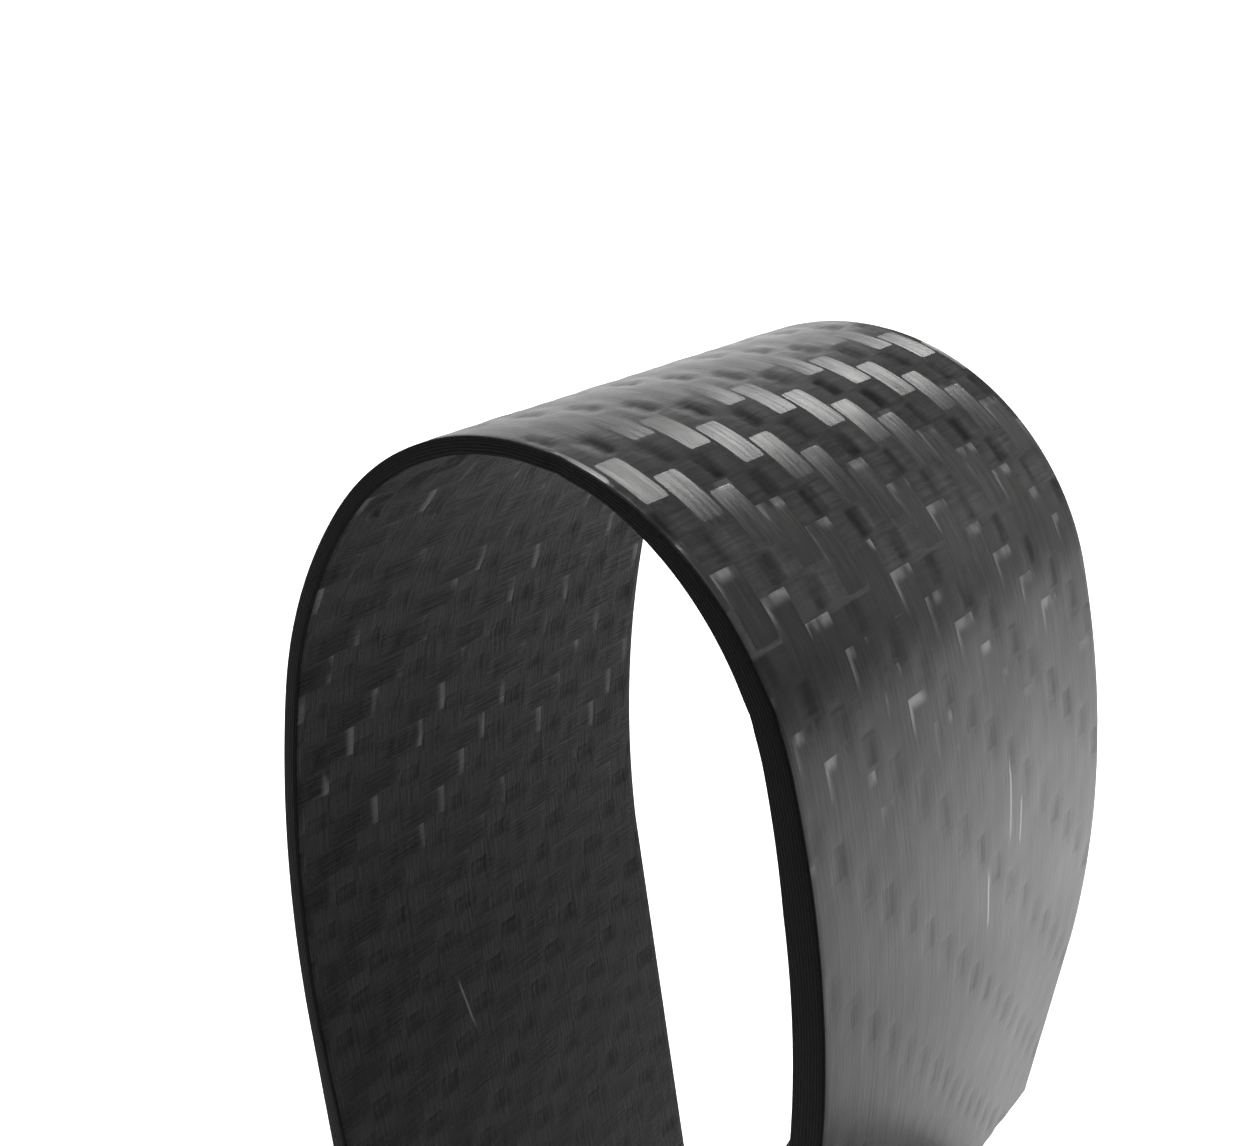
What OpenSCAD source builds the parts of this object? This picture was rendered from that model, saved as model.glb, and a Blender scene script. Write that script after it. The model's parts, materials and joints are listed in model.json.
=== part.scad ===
// Below-knee prosthetic leg with a hairpin-loop carbon blade foot, a shock and torsion pylon,
// a pin lock and a laminated socket. +X is forward, +Y is left, +Z is up, and the ground is z = 0.
// The pylon's axis is x = 0, y = 0. Lengths are in millimetres.

/* [Blade] */
// Width of the carbon band
blade_w = 70; // [66:1:74]
// Height of the loop's outer face above the ground
loop_height = 240; // [236:1:246]
// Distance from the pylon's axis back to the loop's top
loop_back = 102; // [100:1:104]
// Laminate thickness at the free end of the front limb
free_end_t = 3.7; // [3:0.1:4]
// Laminate thickness at the top of the loop
apex_t = 1.9; // [1.6:0.1:2.6]
// Laminate thickness on the rear limb
rear_t = 2.2; // [1.8:0.1:3]
// Laminate thickness along the keel
keel_t = 6; // [5:0.5:7]
// Laminate thickness at the toe
toe_t = 3; // [2.5:0.5:4]

/* [Foot] */
// Radius of the heel bend's outer face
heel_r = 76; // [72:1:80]
// Thickness of the heel leaf
leaf_t = 4; // [3.5:0.5:5]
// Width of the heel leaf
leaf_w = 60; // [54:1:64]
// Thickness of the rubber treads
tread_t = 4; // [3:0.5:5]

/* [Pylon] */
// Outer diameter of the inner tube
tube_d = 30; // [28:1:30]
// Wall of the inner tube
tube_wall = 2; // [1.5:0.5:3]
// Largest compression of the shock spring
shock_travel = 8; // [4:1:8]

/* [Socket] */
// Height of the socket's side wings above the ground
brim_z = 520; // [490:5:560]
// Half width of the socket at the brim
brim_r = 59; // [54:1:64]
// Thickness of the socket's laminate
shell_t = 4; // [3:0.5:5]
// Thickness of the soft liner
liner_t = 5; // [4:0.5:6]

/* [Hidden] */
$fn = 64;
eps = 0.02;  // clearance between pieces that are fixed to each other
run_gap = 0.05;  // radial clearance of a running fit
cut = 1;  // how far a cutting tool runs past the faces it opens

// ---- Lines of the carbon pieces ----
// A line is a list of stations [x, z, heading in degrees, distance]. A segment is [length, turn].
function bend(r, turn) = [r * abs(turn) * PI / 180, turn];
function chord(l, turn) = turn == 0 ? l : l * sin(abs(turn) / 2) / (abs(turn) * PI / 360);
function along(st, l, turn) =
    let (h = st[2] + turn / 2, c = chord(l, turn))
    [st[0] + c * cos(h), st[1] + c * sin(h), st[2] + turn, st[3] + l];
function steps(seg) = max(1, ceil(abs(seg[1]) / 2.5), ceil(seg[0] / 12));
function seg_stations(st, seg) =
    let (n = steps(seg))
    [for (k = [0:n]) along(st, seg[0] * k / n, seg[1] * k / n)];
function walk(st, segs, i = 0) =
    i == len(segs) ? [st]
    : let (run = seg_stations(st, segs[i]), n = len(run) - 1)
      concat([for (k = [0:n - 1]) run[k]], walk(run[n], segs, i + 1));
function last(list) = list[len(list) - 1];
function flip(list) = [for (i = [len(list) - 1:-1:0]) list[i]];
// The point d to the right of a station's heading, which is the blade's outer side
function beside(st, d) = [st[0] + d * sin(st[2]), st[1] - d * cos(st[2])];

// The loop's outer face, from its top. Both limbs lean in once they are straight.
limb_lean = 7.6;
loop_rear = [bend(33.8, 51.2), bend(57.7, 28.4), bend(161.4, 18)];
loop_front = [bend(33.6, 41), bend(37.3, 33), bend(138.2, 23.6)];
front_straight = 26;
loop_top = [-loop_back, loop_height, 180, 0];

// The front limb runs from its free end up to the top, at negative distances
front_down = walk([-loop_back, loop_height, 0, 0],
                  [for (s = concat(loop_front, [[front_straight, 0]])) [s[0], -s[1]]]);
front_limb = [for (st = flip(front_down)) [st[0], st[1], st[2] + 180, -st[3]]];
free_end = front_limb[0];

// The rear limb runs down to the heel bend, and the keel slopes down to the toe's bend
rear_bends = walk(loop_top, loop_rear);
heel_top_z = 88;
rear_straight = (last(rear_bends)[1] - heel_top_z) / cos(limb_lean);
heel_top = along(last(rear_bends), rear_straight, 0);
keel_slope = 8.4;
heel_turn = 90 - limb_lean - keel_slope;
keel_start = along(heel_top, bend(heel_r, heel_turn)[0], heel_turn);
tread_flat = 0.4;  // how much of the treads' curve is flattened by the ground
sole_z = tread_t - tread_flat;
toe_r = 120;
toe_rise = 17;
keel_drop = keel_start[1] - sole_z - toe_r * (1 - cos(keel_slope));
keel_run = keel_drop / sin(keel_slope);
toe_start = along(keel_start, keel_run, 0);
toe_bend = bend(toe_r, keel_slope + toe_rise);
toe_end = along(toe_start, toe_bend[0], toe_bend[1]);
half_length = -min([for (st = rear_bends) st[0]]);
toe_tip = (half_length - toe_end[0]) / cos(toe_rise);
rear_and_keel = walk(last(rear_bends), [
    [rear_straight, 0], bend(heel_r, heel_turn), [keel_run, 0], toe_bend, [toe_tip, 0]
]);
rear_line = [for (i = [0:len(rear_bends) - 2]) rear_bends[i]];
blade_line = concat([for (i = [0:len(front_limb) - 2]) front_limb[i]], rear_line, rear_and_keel);
blade_length = last(blade_line)[3];

// Laminate thickness by the distance from the loop's top
function blade_t(s) = lookup(s, [
    [-60, free_end_t], [-12, apex_t], [0, apex_t], [40, rear_t], [last(rear_bends)[3], rear_t],
    [heel_top[3] + 30, keel_t], [toe_start[3], keel_t], [blade_length, toe_t]
]);

// The heel leaf's upper face, from its front end under the keel back to the heel
leaf_front_x = 32;
leaf_clamped = 50;
leaf_front = along(keel_start, (leaf_front_x - keel_start[0]) / cos(keel_slope), 0);
leaf_bend_r = 150;
leaf_bend = 20;
leaf_fall = leaf_bend - keel_slope;
heel_curl_r = 70;
heel_curl = 12;
leaf_bent = along(along([leaf_front[0], leaf_front[1], 180 - keel_slope, 0], leaf_clamped, 0),
                  bend(leaf_bend_r, leaf_bend)[0], leaf_bend);
leaf_drop = leaf_bent[1] - sole_z - leaf_t - heel_curl_r * (1 - cos(leaf_fall));
leaf_line = walk([leaf_front[0], leaf_front[1], 180 - keel_slope, 0], [
    [leaf_clamped, 0], bend(leaf_bend_r, leaf_bend), [leaf_drop / sin(leaf_fall), 0],
    bend(heel_curl_r, -leaf_fall - heel_curl)
]);
leaf_length = last(leaf_line)[3];

// ---- Heights of the pylon, from the ground up ----
pad_z = loop_height - 119;
pad_t = 14;
pad_r = 24;
flange_t = 6;
flange_r = 23.5;
pyramid_h = 16;
pyramid_neck = 7.4;
pyramid_wide = 11.5;
cup_r = 17;
cup_h = 18.5;
cup_outer_r = 23;
clamp_z = pad_z + flange_t + 0.6;
web_t = 4;
tube_seat_z = clamp_z + cup_h + web_t;
clamp_top = tube_seat_z + 26;
tube_r = tube_d / 2;
seat_t = 4;
spring_z = clamp_top + seat_t;
spring_l = 32;
spring_wire = 3.2;
spring_r = tube_r + 3.6;
sleeve_z = spring_z + spring_l;
sleeve_h = 32;
sleeve_in_r = tube_r + 2;
sleeve_r = sleeve_in_r + 3;
spindle_z = sleeve_z + sleeve_h;
spindle_plug = 4;
tube_top = spindle_z - spindle_plug - shock_travel - 1;
spindle_r = 9;
spindle_flange = 4;
housing_z = spindle_z + spindle_flange + 0.3;
housing_r = 24;
housing_h = 20;
housing_floor = 4;
housing_in_r = 18.5;
receiver_z = housing_z + housing_h;
receiver_web = 4;
receiver_top = receiver_z + receiver_web + cup_h;
upper_flange_z = receiver_top + 0.6;
lock_z = upper_flange_z + flange_t;
lock_r = 34;
lock_h = 36;
lock_top = lock_z + lock_h;
guide_t = 4;
guide_r = 30;
boss_r = 16;
boss_h = 8;
shell_z = lock_top + guide_t;
pin_r = 5.25;
funnel_h = 5;

// ---- Fasteners ----
screw_r = 3;
csk_r = 5.4;
csk_h = 3;
screw_pcd_r = 16.5;
socket_screw_r = 24;
socket_screw_angles = [52, 128, 232, 308];

module cap_screw(shank, r = screw_r) {
    head_r = r * 1.65;
    difference() {
        union() {
            translate([0, 0, -shank]) cylinder(r = r, h = shank);
            cylinder(r = head_r, h = r * 1.9);
        }
        translate([0, 0, r * 0.7]) cylinder(r = r * 0.95, h = r * 2, $fn = 6);
    }
}

module csk_shape(shank) {
    translate([0, 0, -shank]) cylinder(r = screw_r, h = shank);
    translate([0, 0, -csk_h]) cylinder(r1 = screw_r, r2 = csk_r, h = csk_h);
}

// The hole for a countersunk screw, open above its head
module csk_hole(depth) {
    translate([0, 0, -depth]) cylinder(r = screw_r + 0.1, h = depth);
    translate([0, 0, -csk_h]) cylinder(r1 = screw_r + 0.1, r2 = csk_r + 0.1, h = csk_h);
    translate([0, 0, -0.01]) cylinder(r = csk_r + 0.1, h = 0.4);
}

module csk_screw(shank) {
    difference() {
        csk_shape(shank);
        translate([0, 0, -2]) cylinder(r = screw_r * 0.75, h = 2 + cut, $fn = 6);
    }
}

module set_screw(r, l) {
    difference() {
        cylinder(r = r, h = l);
        translate([0, 0, l - 3]) cylinder(r = r * 0.6, h = 3 + cut, $fn = 6);
    }
}

module ring(outer, inner, h) {
    difference() {
        cylinder(r = outer, h = h);
        translate([0, 0, -cut]) cylinder(r = inner, h = h + 2 * cut);
    }
}

// A side view in x and z, extruded evenly to both sides of y = 0
module side_view(width) {
    rotate([90, 0, 0])
        linear_extrude(width, center = true)
            children();
}

// ---- Carbon blade and foot ----
// Places children in the free end's frame: origin on the inner face, +Z up the limb, +X outwards
module on_free_end(up = 0, side = 0) {
    inner = beside(free_end, -free_end_t);
    translate([inner[0], side, inner[1]])
        rotate([0, limb_lean, 0])
            translate([0, 0, up])
                children();
}

insert_r = 4.5;
insert_depth = 2.4;
limb_screw_up = [7, 19];
limb_screw_side = [-17, 17];

module at_limb_screws() {
    for (up = limb_screw_up)
        for (side = limb_screw_side)
            on_free_end(up, side)
                rotate([0, 90, 0])
                    children();
}

// Places children on the keel's sole side at x, with +Z square to the keel and upwards
module on_keel(x) {
    st = along(keel_start, (x - keel_start[0]) / cos(keel_slope), 0);
    translate([st[0], 0, st[1]])
        rotate([0, keel_slope, 0])
            children();
}

keel_bolt_x = [-6, 18];
keel_bolt_r = 4;
keel_plate_t = 3;
keel_nut_h = 5;

module keel_bolt_holes(bottom, top) {
    for (x = keel_bolt_x)
        on_keel(x)
            translate([0, 0, bottom])
                cylinder(r = keel_bolt_r + 0.1, h = top - bottom);
}

module blade() {
    color([0.16, 0.16, 0.17])
        difference() {
            side_view(blade_w)
                polygon(concat(
                    [for (st = blade_line) beside(st, 0)],
                    [for (st = flip(blade_line)) beside(st, -blade_t(st[3]))]
                ));
            keel_bolt_holes(-cut, keel_t + cut);
            at_limb_screws()
                translate([0, 0, -cut])
                    cylinder(r = insert_r, h = insert_depth + cut);
        }
}

module heel_leaf() {
    color([0.16, 0.16, 0.17])
        difference() {
            side_view(leaf_w)
                polygon(concat(
                    [for (st = leaf_line) beside(st, -leaf_t)],
                    [for (st = flip(leaf_line)) beside(st, -eps)]
                ));
            keel_bolt_holes(-leaf_t - cut, cut);
            for (x = keel_bolt_x)
                on_keel(x)
                    translate([0, 0, -leaf_t - 0.01])
                        cylinder(r1 = 7.2, r2 = keel_bolt_r + 0.1, h = 2.8);
        }
}

wedge_front = leaf_clamped + 6;
wedge_back = leaf_clamped + 46;

module heel_wedge() {
    lower = [for (st = leaf_line) if (st[3] > wedge_front && st[3] < wedge_back) beside(st, eps)];
    front_x = lower[0][0];
    back_x = last(lower)[0];
    keel_z = [for (x = [front_x, back_x]) keel_start[1] - (x - keel_start[0]) * tan(keel_slope)];
    color([0.62, 0.60, 0.56])
        side_view(leaf_w - 6)
            polygon(concat(lower, [[back_x, keel_z[1] - eps], [front_x, keel_z[0] - eps]]));
}

// A tread follows its carbon piece and is flat where it meets the ground
module tread(line, inner, outer, width) {
    color([0.10, 0.10, 0.10])
        side_view(width)
            polygon(concat(
                [for (st = line) beside(st, inner)],
                [for (st = flip(line)) let (p = beside(st, outer)) [p[0], max(0, p[1])]]
            ));
}

module heel_tread() {
    line = [for (st = leaf_line) if (st[3] > leaf_length - 48 && st[3] < leaf_length - 2) st];
    tread(line, -leaf_t - eps, -leaf_t - tread_t, leaf_w - 4);
}

module toe_tread() {
    first = toe_start[3] - 14;
    line = [for (st = blade_line) if (st[3] > first && st[3] < blade_length - 3) st];
    tread(line, eps, tread_t, blade_w - 6);
}

module keel_plate() {
    color([0.70, 0.71, 0.72])
        difference() {
            on_keel((keel_bolt_x[0] + keel_bolt_x[1]) / 2)
                translate([-24, -18, keel_t + eps])
                    cube([48, 36, keel_plate_t]);
            keel_bolt_holes(keel_t - cut, keel_t + keel_plate_t + cut);
        }
}

module keel_bolts() {
    length = leaf_t + keel_t + keel_plate_t + keel_nut_h + 2;
    color([0.62, 0.62, 0.63])
        for (x = keel_bolt_x)
            on_keel(x)
                translate([0, 0, -leaf_t])
                    difference() {
                        union() {
                            cylinder(r = keel_bolt_r, h = length);
                            cylinder(r1 = 7, r2 = keel_bolt_r, h = 2.6);
                        }
                        translate([0, 0, -cut])
                            cylinder(r = 2.9, h = 2.2 + cut, $fn = 6);
                    }
}

module keel_nuts() {
    color([0.62, 0.62, 0.63])
        for (x = keel_bolt_x)
            on_keel(x)
                translate([0, 0, keel_t + keel_plate_t + 2 * eps])
                    difference() {
                        cylinder(r = 7.5, h = keel_nut_h, $fn = 6);
                        translate([0, 0, -cut])
                            cylinder(r = keel_bolt_r + eps, h = keel_nut_h + 2 * cut);
                    }
}

// ---- Hanger bracket on the free end ----
tongue_t = 8;
tongue_top = 25;
tongue_w = 54;

// The point at distance n outwards and u up the limb, from the inner face at the free end
function limb_point(n, u) =
    let (p = beside(free_end, -free_end_t))
    [p[0] + n * cos(limb_lean) + u * sin(limb_lean), p[1] - n * sin(limb_lean) + u * cos(limb_lean)];
// The same face followed down to height z
function limb_point_at(n, z) =
    let (p = limb_point(n, 0))
    [p[0] - (p[1] - z) * tan(limb_lean), z];

module hanger_bracket() {
    pad_under = pad_z - pad_t;
    slot_r = 9;
    slot_x = [-56, -36];
    color([0.72, 0.73, 0.74])
        difference() {
            intersection() {
                side_view(2 * tongue_w)
                    polygon([
                        limb_point(-eps, tongue_top), limb_point_at(-eps, pad_z + 4),
                        limb_point_at(-eps, pad_z + 4) + [4, -4], [pad_r + cut, pad_z],
                        [pad_r + cut, pad_under], limb_point_at(-tongue_t, pad_under) + [6, 0],
                        limb_point_at(-tongue_t, pad_under + 6), limb_point(-tongue_t, tongue_top - 3),
                        limb_point(-tongue_t + 3, tongue_top)
                    ]);
                translate([0, 0, pad_under - cut])
                    linear_extrude(80)
                        union() {
                            circle(r = pad_r);
                            polygon([
                                [0, pad_r], [-60, tongue_w / 2], [-110, tongue_w / 2],
                                [-110, -tongue_w / 2], [-60, -tongue_w / 2], [0, -pad_r]
                            ]);
                        }
            }
            translate([0, 0, pad_under - cut])
                linear_extrude(pad_t + 2 * cut)
                    union() {
                        for (x = slot_x)
                            translate([x, 0])
                                circle(r = slot_r);
                        translate([slot_x[0], -slot_r])
                            square([slot_x[1] - slot_x[0], 2 * slot_r]);
                    }
            at_limb_screws()
                union() {
                    translate([0, 0, -tongue_t - cut])
                        cylinder(r = screw_r + 0.2, h = tongue_t + 2 * cut);
                    translate([0, 0, -tongue_t - cut])
                        cylinder(r = 5.4, h = 4.4 + cut);
                }
            at_flange_screws(pad_z)
                translate([0, 0, -pad_t - cut])
                    cylinder(r = screw_r + eps, h = pad_t + 2 * cut);
        }
}

module bracket_screws() {
    color([0.30, 0.30, 0.31])
        at_limb_screws()
            translate([0, 0, -tongue_t + 4.4])
                rotate([180, 0, 0])
                    cap_screw_low(tongue_t - 4.4 + insert_depth - 0.2);
}

// A low cap screw whose head sits in a 4.4 mm counterbore
module cap_screw_low(shank) {
    difference() {
        union() {
            translate([0, 0, -shank]) cylinder(r = screw_r - 0.3, h = shank);
            translate([0, 0, eps]) cylinder(r = 5, h = 4);
        }
        translate([0, 0, 2]) cylinder(r = 2.9, h = 2 + cut, $fn = 6);
    }
}

module limb_inserts() {
    color([0.78, 0.72, 0.52])
        at_limb_screws()
            ring(insert_r - eps, screw_r - 0.3 + eps, insert_depth - eps);
}

// ---- Alignment couplings ----
module at_flange_screws(z) {
    for (a = [45:90:315])
        rotate([0, 0, a])
            translate([screw_pcd_r, 0, z])
                children();
}

// A male pyramid: a round flange, then a block whose four faces spread upwards
module pyramid() {
    profile = [
        [-pyramid_neck, flange_t - 0.01], [pyramid_neck, flange_t - 0.01],
        [pyramid_wide, flange_t + pyramid_h], [-pyramid_wide, flange_t + pyramid_h]
    ];
    difference() {
        union() {
            cylinder(r = flange_r, h = flange_t);
            intersection() {
                side_view(2 * pyramid_wide) polygon(profile);
                rotate([0, 0, 90]) side_view(2 * pyramid_wide) polygon(profile);
            }
        }
        at_flange_screws(flange_t) csk_hole(flange_t + cut);
    }
}

module pyramid_lower() {
    color([0.60, 0.60, 0.60])
        translate([0, 0, pad_z + eps])
            pyramid();
}

module pyramid_lower_screws() {
    color([0.30, 0.30, 0.31])
        at_flange_screws(pad_z + flange_t + eps)
            csk_screw(16);
}

module at_set_screws(z) {
    for (a = [0:90:270])
        rotate([0, 0, a])
            translate([0, 0, z])
                rotate([0, 90, 0])
                    children();
}

set_screw_r = 4;
set_screw_tip = 10.9;
set_screw_l = 12.4;

ear_x = 32;
ear_half_w = 11;
ear_h = 18;
ear_bolt_x = 25.5;

module tube_clamp() {
    ear_z = clamp_top - ear_h;
    color([0.66, 0.67, 0.68])
        difference() {
            union() {
                translate([0, 0, clamp_z])
                    cylinder(r = cup_outer_r, h = cup_h + web_t);
                translate([0, 0, tube_seat_z])
                    cylinder(r = tube_r + 5, h = clamp_top - tube_seat_z);
                translate([0, -ear_half_w, ear_z])
                    cube([ear_x, 2 * ear_half_w, ear_h]);
            }
            translate([0, 0, clamp_z - cut])
                cylinder(r = cup_r, h = cup_h + cut);
            translate([0, 0, tube_seat_z])
                cylinder(r = tube_r, h = clamp_top - tube_seat_z + cut);
            translate([0, 0, clamp_z])
                cylinder(r = 6, h = 60);
            translate([0, -1, ear_z - 2])
                cube([ear_x + cut, 2, ear_h + 2 + cut]);
            translate([ear_bolt_x, ear_half_w + cut, clamp_top - ear_h / 2])
                rotate([90, 0, 0])
                    cylinder(r = screw_r + 0.1, h = 2 * (ear_half_w + cut));
            at_set_screws(pad_z + flange_t + 9)
                translate([0, 0, cup_r - 2])
                    cylinder(r = set_screw_r + eps, h = 12);
        }
}

module clamp_set_screws() {
    color([0.25, 0.25, 0.26])
        at_set_screws(pad_z + flange_t + 9)
            translate([0, 0, set_screw_tip])
                set_screw(set_screw_r, set_screw_l);
}

module clamp_bolt() {
    color([0.30, 0.30, 0.31])
        translate([ear_bolt_x, -ear_half_w - eps, clamp_top - ear_h / 2])
            rotate([90, 0, 0])
                cap_screw(2 * ear_half_w - 1);
}

// ---- Shock and torsion pylon ----
module inner_tube() {
    color([0.80, 0.80, 0.81])
        translate([0, 0, tube_seat_z + eps])
            ring(tube_r - eps, tube_r - tube_wall, tube_top - tube_seat_z);
}

module spring_seat() {
    color([0.15, 0.15, 0.16])
        translate([0, 0, clamp_top + eps])
            ring(22, tube_r, seat_t - eps);
}

// A round wire wound around +Z, from z = 0 to z = length
module coil(r, wire, length, turns, sides, rings_per_turn) {
    n = turns * rings_per_turn;
    rise = length - wire;
    points = [for (i = [0:n], k = [0:sides - 1])
        let (a = 360 * i / rings_per_turn, b = 360 * k / sides, q = r + wire / 2 * cos(b))
        [q * cos(a), q * sin(a), wire / 2 + rise * i / n + wire / 2 * sin(b)]];
    walls = [for (i = [0:n - 1], k = [0:sides - 1])
        let (next = (k + 1) % sides, low = i * sides, high = low + sides)
        [low + k, high + k, high + next, low + next]];
    caps = [[for (k = [0:sides - 1]) k], [for (k = [sides - 1:-1:0]) n * sides + k]];
    polyhedron(points, concat(walls, caps), convexity = 10);
}

module shock_spring() {
    color([0.75, 0.76, 0.78])
        translate([0, 0, spring_z + 0.1])
            coil(spring_r, spring_wire, spring_l - 0.2, 5, 8, 20);
}

module outer_sleeve() {
    color([0.20, 0.20, 0.21])
        translate([0, 0, sleeve_z])
            difference() {
                union() {
                    cylinder(r = sleeve_r, h = sleeve_h);
                    cylinder(r = 22, h = 4);
                }
                translate([0, 0, -cut]) cylinder(r = sleeve_in_r, h = sleeve_h + 2 * cut);
            }
}

module sleeve_bushing() {
    color([0.75, 0.62, 0.40])
        translate([0, 0, sleeve_z + 4])
            ring(sleeve_in_r - eps, tube_r + run_gap, 22);
}

module wiper_ring() {
    color([0.10, 0.10, 0.10])
        translate([0, 0, sleeve_z + 0.4])
            ring(sleeve_in_r - eps, tube_r + run_gap, 3.2);
}

spindle_nut_z = housing_z + housing_floor + 5;
spindle_nut_h = 6.5;
spindle_top = spindle_nut_z + spindle_nut_h + 0.5;
spindle_thread_r = 7;

module torsion_spindle() {
    color([0.68, 0.69, 0.70])
        union() {
            translate([0, 0, spindle_z - spindle_plug])
                cylinder(r = sleeve_in_r - eps, h = spindle_plug + eps);
            translate([0, 0, spindle_z + eps])
                cylinder(r = sleeve_r, h = spindle_flange - eps);
            translate([0, 0, spindle_z])
                cylinder(r = spindle_r, h = spindle_nut_z - spindle_z - eps);
            translate([0, 0, spindle_z])
                cylinder(r = spindle_thread_r, h = spindle_top - spindle_z);
        }
}

module spindle_nut() {
    color([0.62, 0.62, 0.63])
        translate([0, 0, spindle_nut_z])
            difference() {
                cylinder(r = 13, h = spindle_nut_h, $fn = 6);
                translate([0, 0, -cut])
                    cylinder(r = spindle_thread_r + eps, h = spindle_nut_h + 2 * cut);
            }
}

module torsion_elastomer() {
    color([0.45, 0.10, 0.10])
        translate([0, 0, housing_z + housing_floor + eps])
            ring(housing_in_r - eps, spindle_r + 0.4, 4.4);
}

module torsion_housing() {
    color([0.66, 0.67, 0.68])
        translate([0, 0, housing_z])
            difference() {
                cylinder(r = housing_r, h = housing_h);
                translate([0, 0, housing_floor])
                    cylinder(r = housing_in_r, h = housing_h);
                translate([0, 0, -cut])
                    cylinder(r = spindle_r + run_gap, h = housing_h);
            }
}

module pyramid_receiver() {
    skirt = 2.6;
    color([0.66, 0.67, 0.68])
        difference() {
            union() {
                translate([0, 0, receiver_z + eps])
                    cylinder(r = housing_r, h = receiver_web + cup_h - eps);
                translate([0, 0, receiver_z - skirt])
                    cylinder(r = housing_in_r - eps, h = skirt + 1);
            }
            translate([0, 0, receiver_z + receiver_web])
                cylinder(r = cup_r, h = cup_h + cut);
            at_set_screws(receiver_top - 8.4)
                translate([0, 0, cup_r - 2])
                    cylinder(r = set_screw_r + eps, h = 12);
        }
}

module receiver_set_screws() {
    color([0.25, 0.25, 0.26])
        at_set_screws(receiver_top - 8.4)
            translate([0, 0, set_screw_tip])
                set_screw(set_screw_r, set_screw_l);
}

module pyramid_upper() {
    color([0.60, 0.60, 0.60])
        difference() {
            translate([0, 0, lock_z])
                rotate([180, 0, 0])
                    pyramid();
            translate([0, 0, lock_z - 9])
                cylinder(r = pin_r + 0.5, h = 9 + cut);
        }
}

module pyramid_upper_screws() {
    color([0.30, 0.30, 0.31])
        translate([0, 0, 2 * lock_z - flange_t])
            rotate([180, 0, 0])
                at_flange_screws(lock_z)
                    csk_screw(14);
}

// ---- Pin lock ----
gear_r = 8;
gear_half_w = 5;
gear_x = pin_r + gear_r + 0.25;
gear_z = lock_z + 16;
gear_teeth = 14;
gear_bore = 3.05;
pocket_r = 9.2;
pocket_half_w = 5.5;
clip_cavity = [-15.2, -8.4];
clip_cavity_r = 6.2;
button_r = 4;
button_travel = 4;
button_head_y = -lock_r - button_travel - 0.2;
spring_pocket_y = -24;

// Places children on the lock's cross axis, with +Z along +Y
module on_cross_axis(y) {
    translate([gear_x, y, gear_z])
        rotate([-90, 0, 0])
            children();
}

module lock_body() {
    color([0.18, 0.18, 0.19])
        difference() {
            translate([0, 0, lock_z + eps])
                cylinder(r = lock_r, h = lock_h - eps);
            translate([0, 0, lock_z - cut])
                cylinder(r = pin_r, h = lock_h + 2 * cut);
            on_cross_axis(-pocket_half_w)
                cylinder(r = pocket_r, h = 2 * pocket_half_w);
            translate([gear_x - pocket_r, -pocket_half_w, gear_z])
                cube([2 * pocket_r, 2 * pocket_half_w, lock_h]);
            on_cross_axis(clip_cavity[0])
                cylinder(r = clip_cavity_r, h = clip_cavity[1] - clip_cavity[0]);
            translate([gear_x - clip_cavity_r, clip_cavity[0], gear_z])
                cube([2 * clip_cavity_r, clip_cavity[1] - clip_cavity[0], lock_h]);
            on_cross_axis(clip_cavity[1] - cut)
                cylinder(r = 3 + eps, h = 36);
            on_cross_axis(-lock_r - cut)
                cylinder(r = button_r + run_gap, h = lock_r + cut + clip_cavity[0] + cut);
            on_cross_axis(-lock_r - cut)
                cylinder(r = 6.5, h = lock_r + cut + spring_pocket_y);
            at_flange_screws(lock_z - cut)
                cylinder(r = screw_r + eps, h = 9.4 + cut);
            at_socket_screws(lock_top - 12.4)
                cylinder(r = screw_r + eps, h = 14);
        }
}

module lock_axle() {
    color([0.75, 0.75, 0.76])
        on_cross_axis(clip_cavity[1] + 0.2)
            cylinder(r = 3, h = 34);
}

module lock_gear() {
    root_r = gear_r - 1.6;
    tooth = 360 / gear_teeth;
    color([0.72, 0.66, 0.45])
        on_cross_axis(-gear_half_w)
            difference() {
                linear_extrude(2 * gear_half_w)
                    polygon([for (i = [0:gear_teeth - 1], p = [[0, root_r], [0.3, gear_r],
                                                              [0.6, gear_r], [0.8, root_r]])
                        let (a = (i + p[0]) * tooth) [p[1] * cos(a), p[1] * sin(a)]]);
                translate([0, 0, -cut])
                    cylinder(r = gear_bore, h = 2 * gear_half_w + 2 * cut);
            }
}

clip_t = 1;
clip_y = clip_cavity[0] + 0.1;

module lock_button() {
    color([0.55, 0.08, 0.07])
        difference() {
            union() {
                on_cross_axis(button_head_y)
                    cylinder(r = button_r, h = clip_y + 2.2 - button_head_y);
                on_cross_axis(button_head_y - 5)
                    cylinder(r = 9, h = 5);
            }
            on_cross_axis(clip_y - 0.05)
                ring(button_r + cut, button_r - 0.6, clip_t + 0.1);
        }
}

module button_clip() {
    color([0.75, 0.75, 0.76])
        on_cross_axis(clip_y)
            ring(5.6, button_r - 0.6 + eps, clip_t);
}

module lock_spring() {
    length = spring_pocket_y - button_head_y;
    color([0.75, 0.76, 0.78])
        on_cross_axis(button_head_y + 0.1)
            coil(5.2, 1.1, length - 0.2, 5, 6, 14);
}

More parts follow.
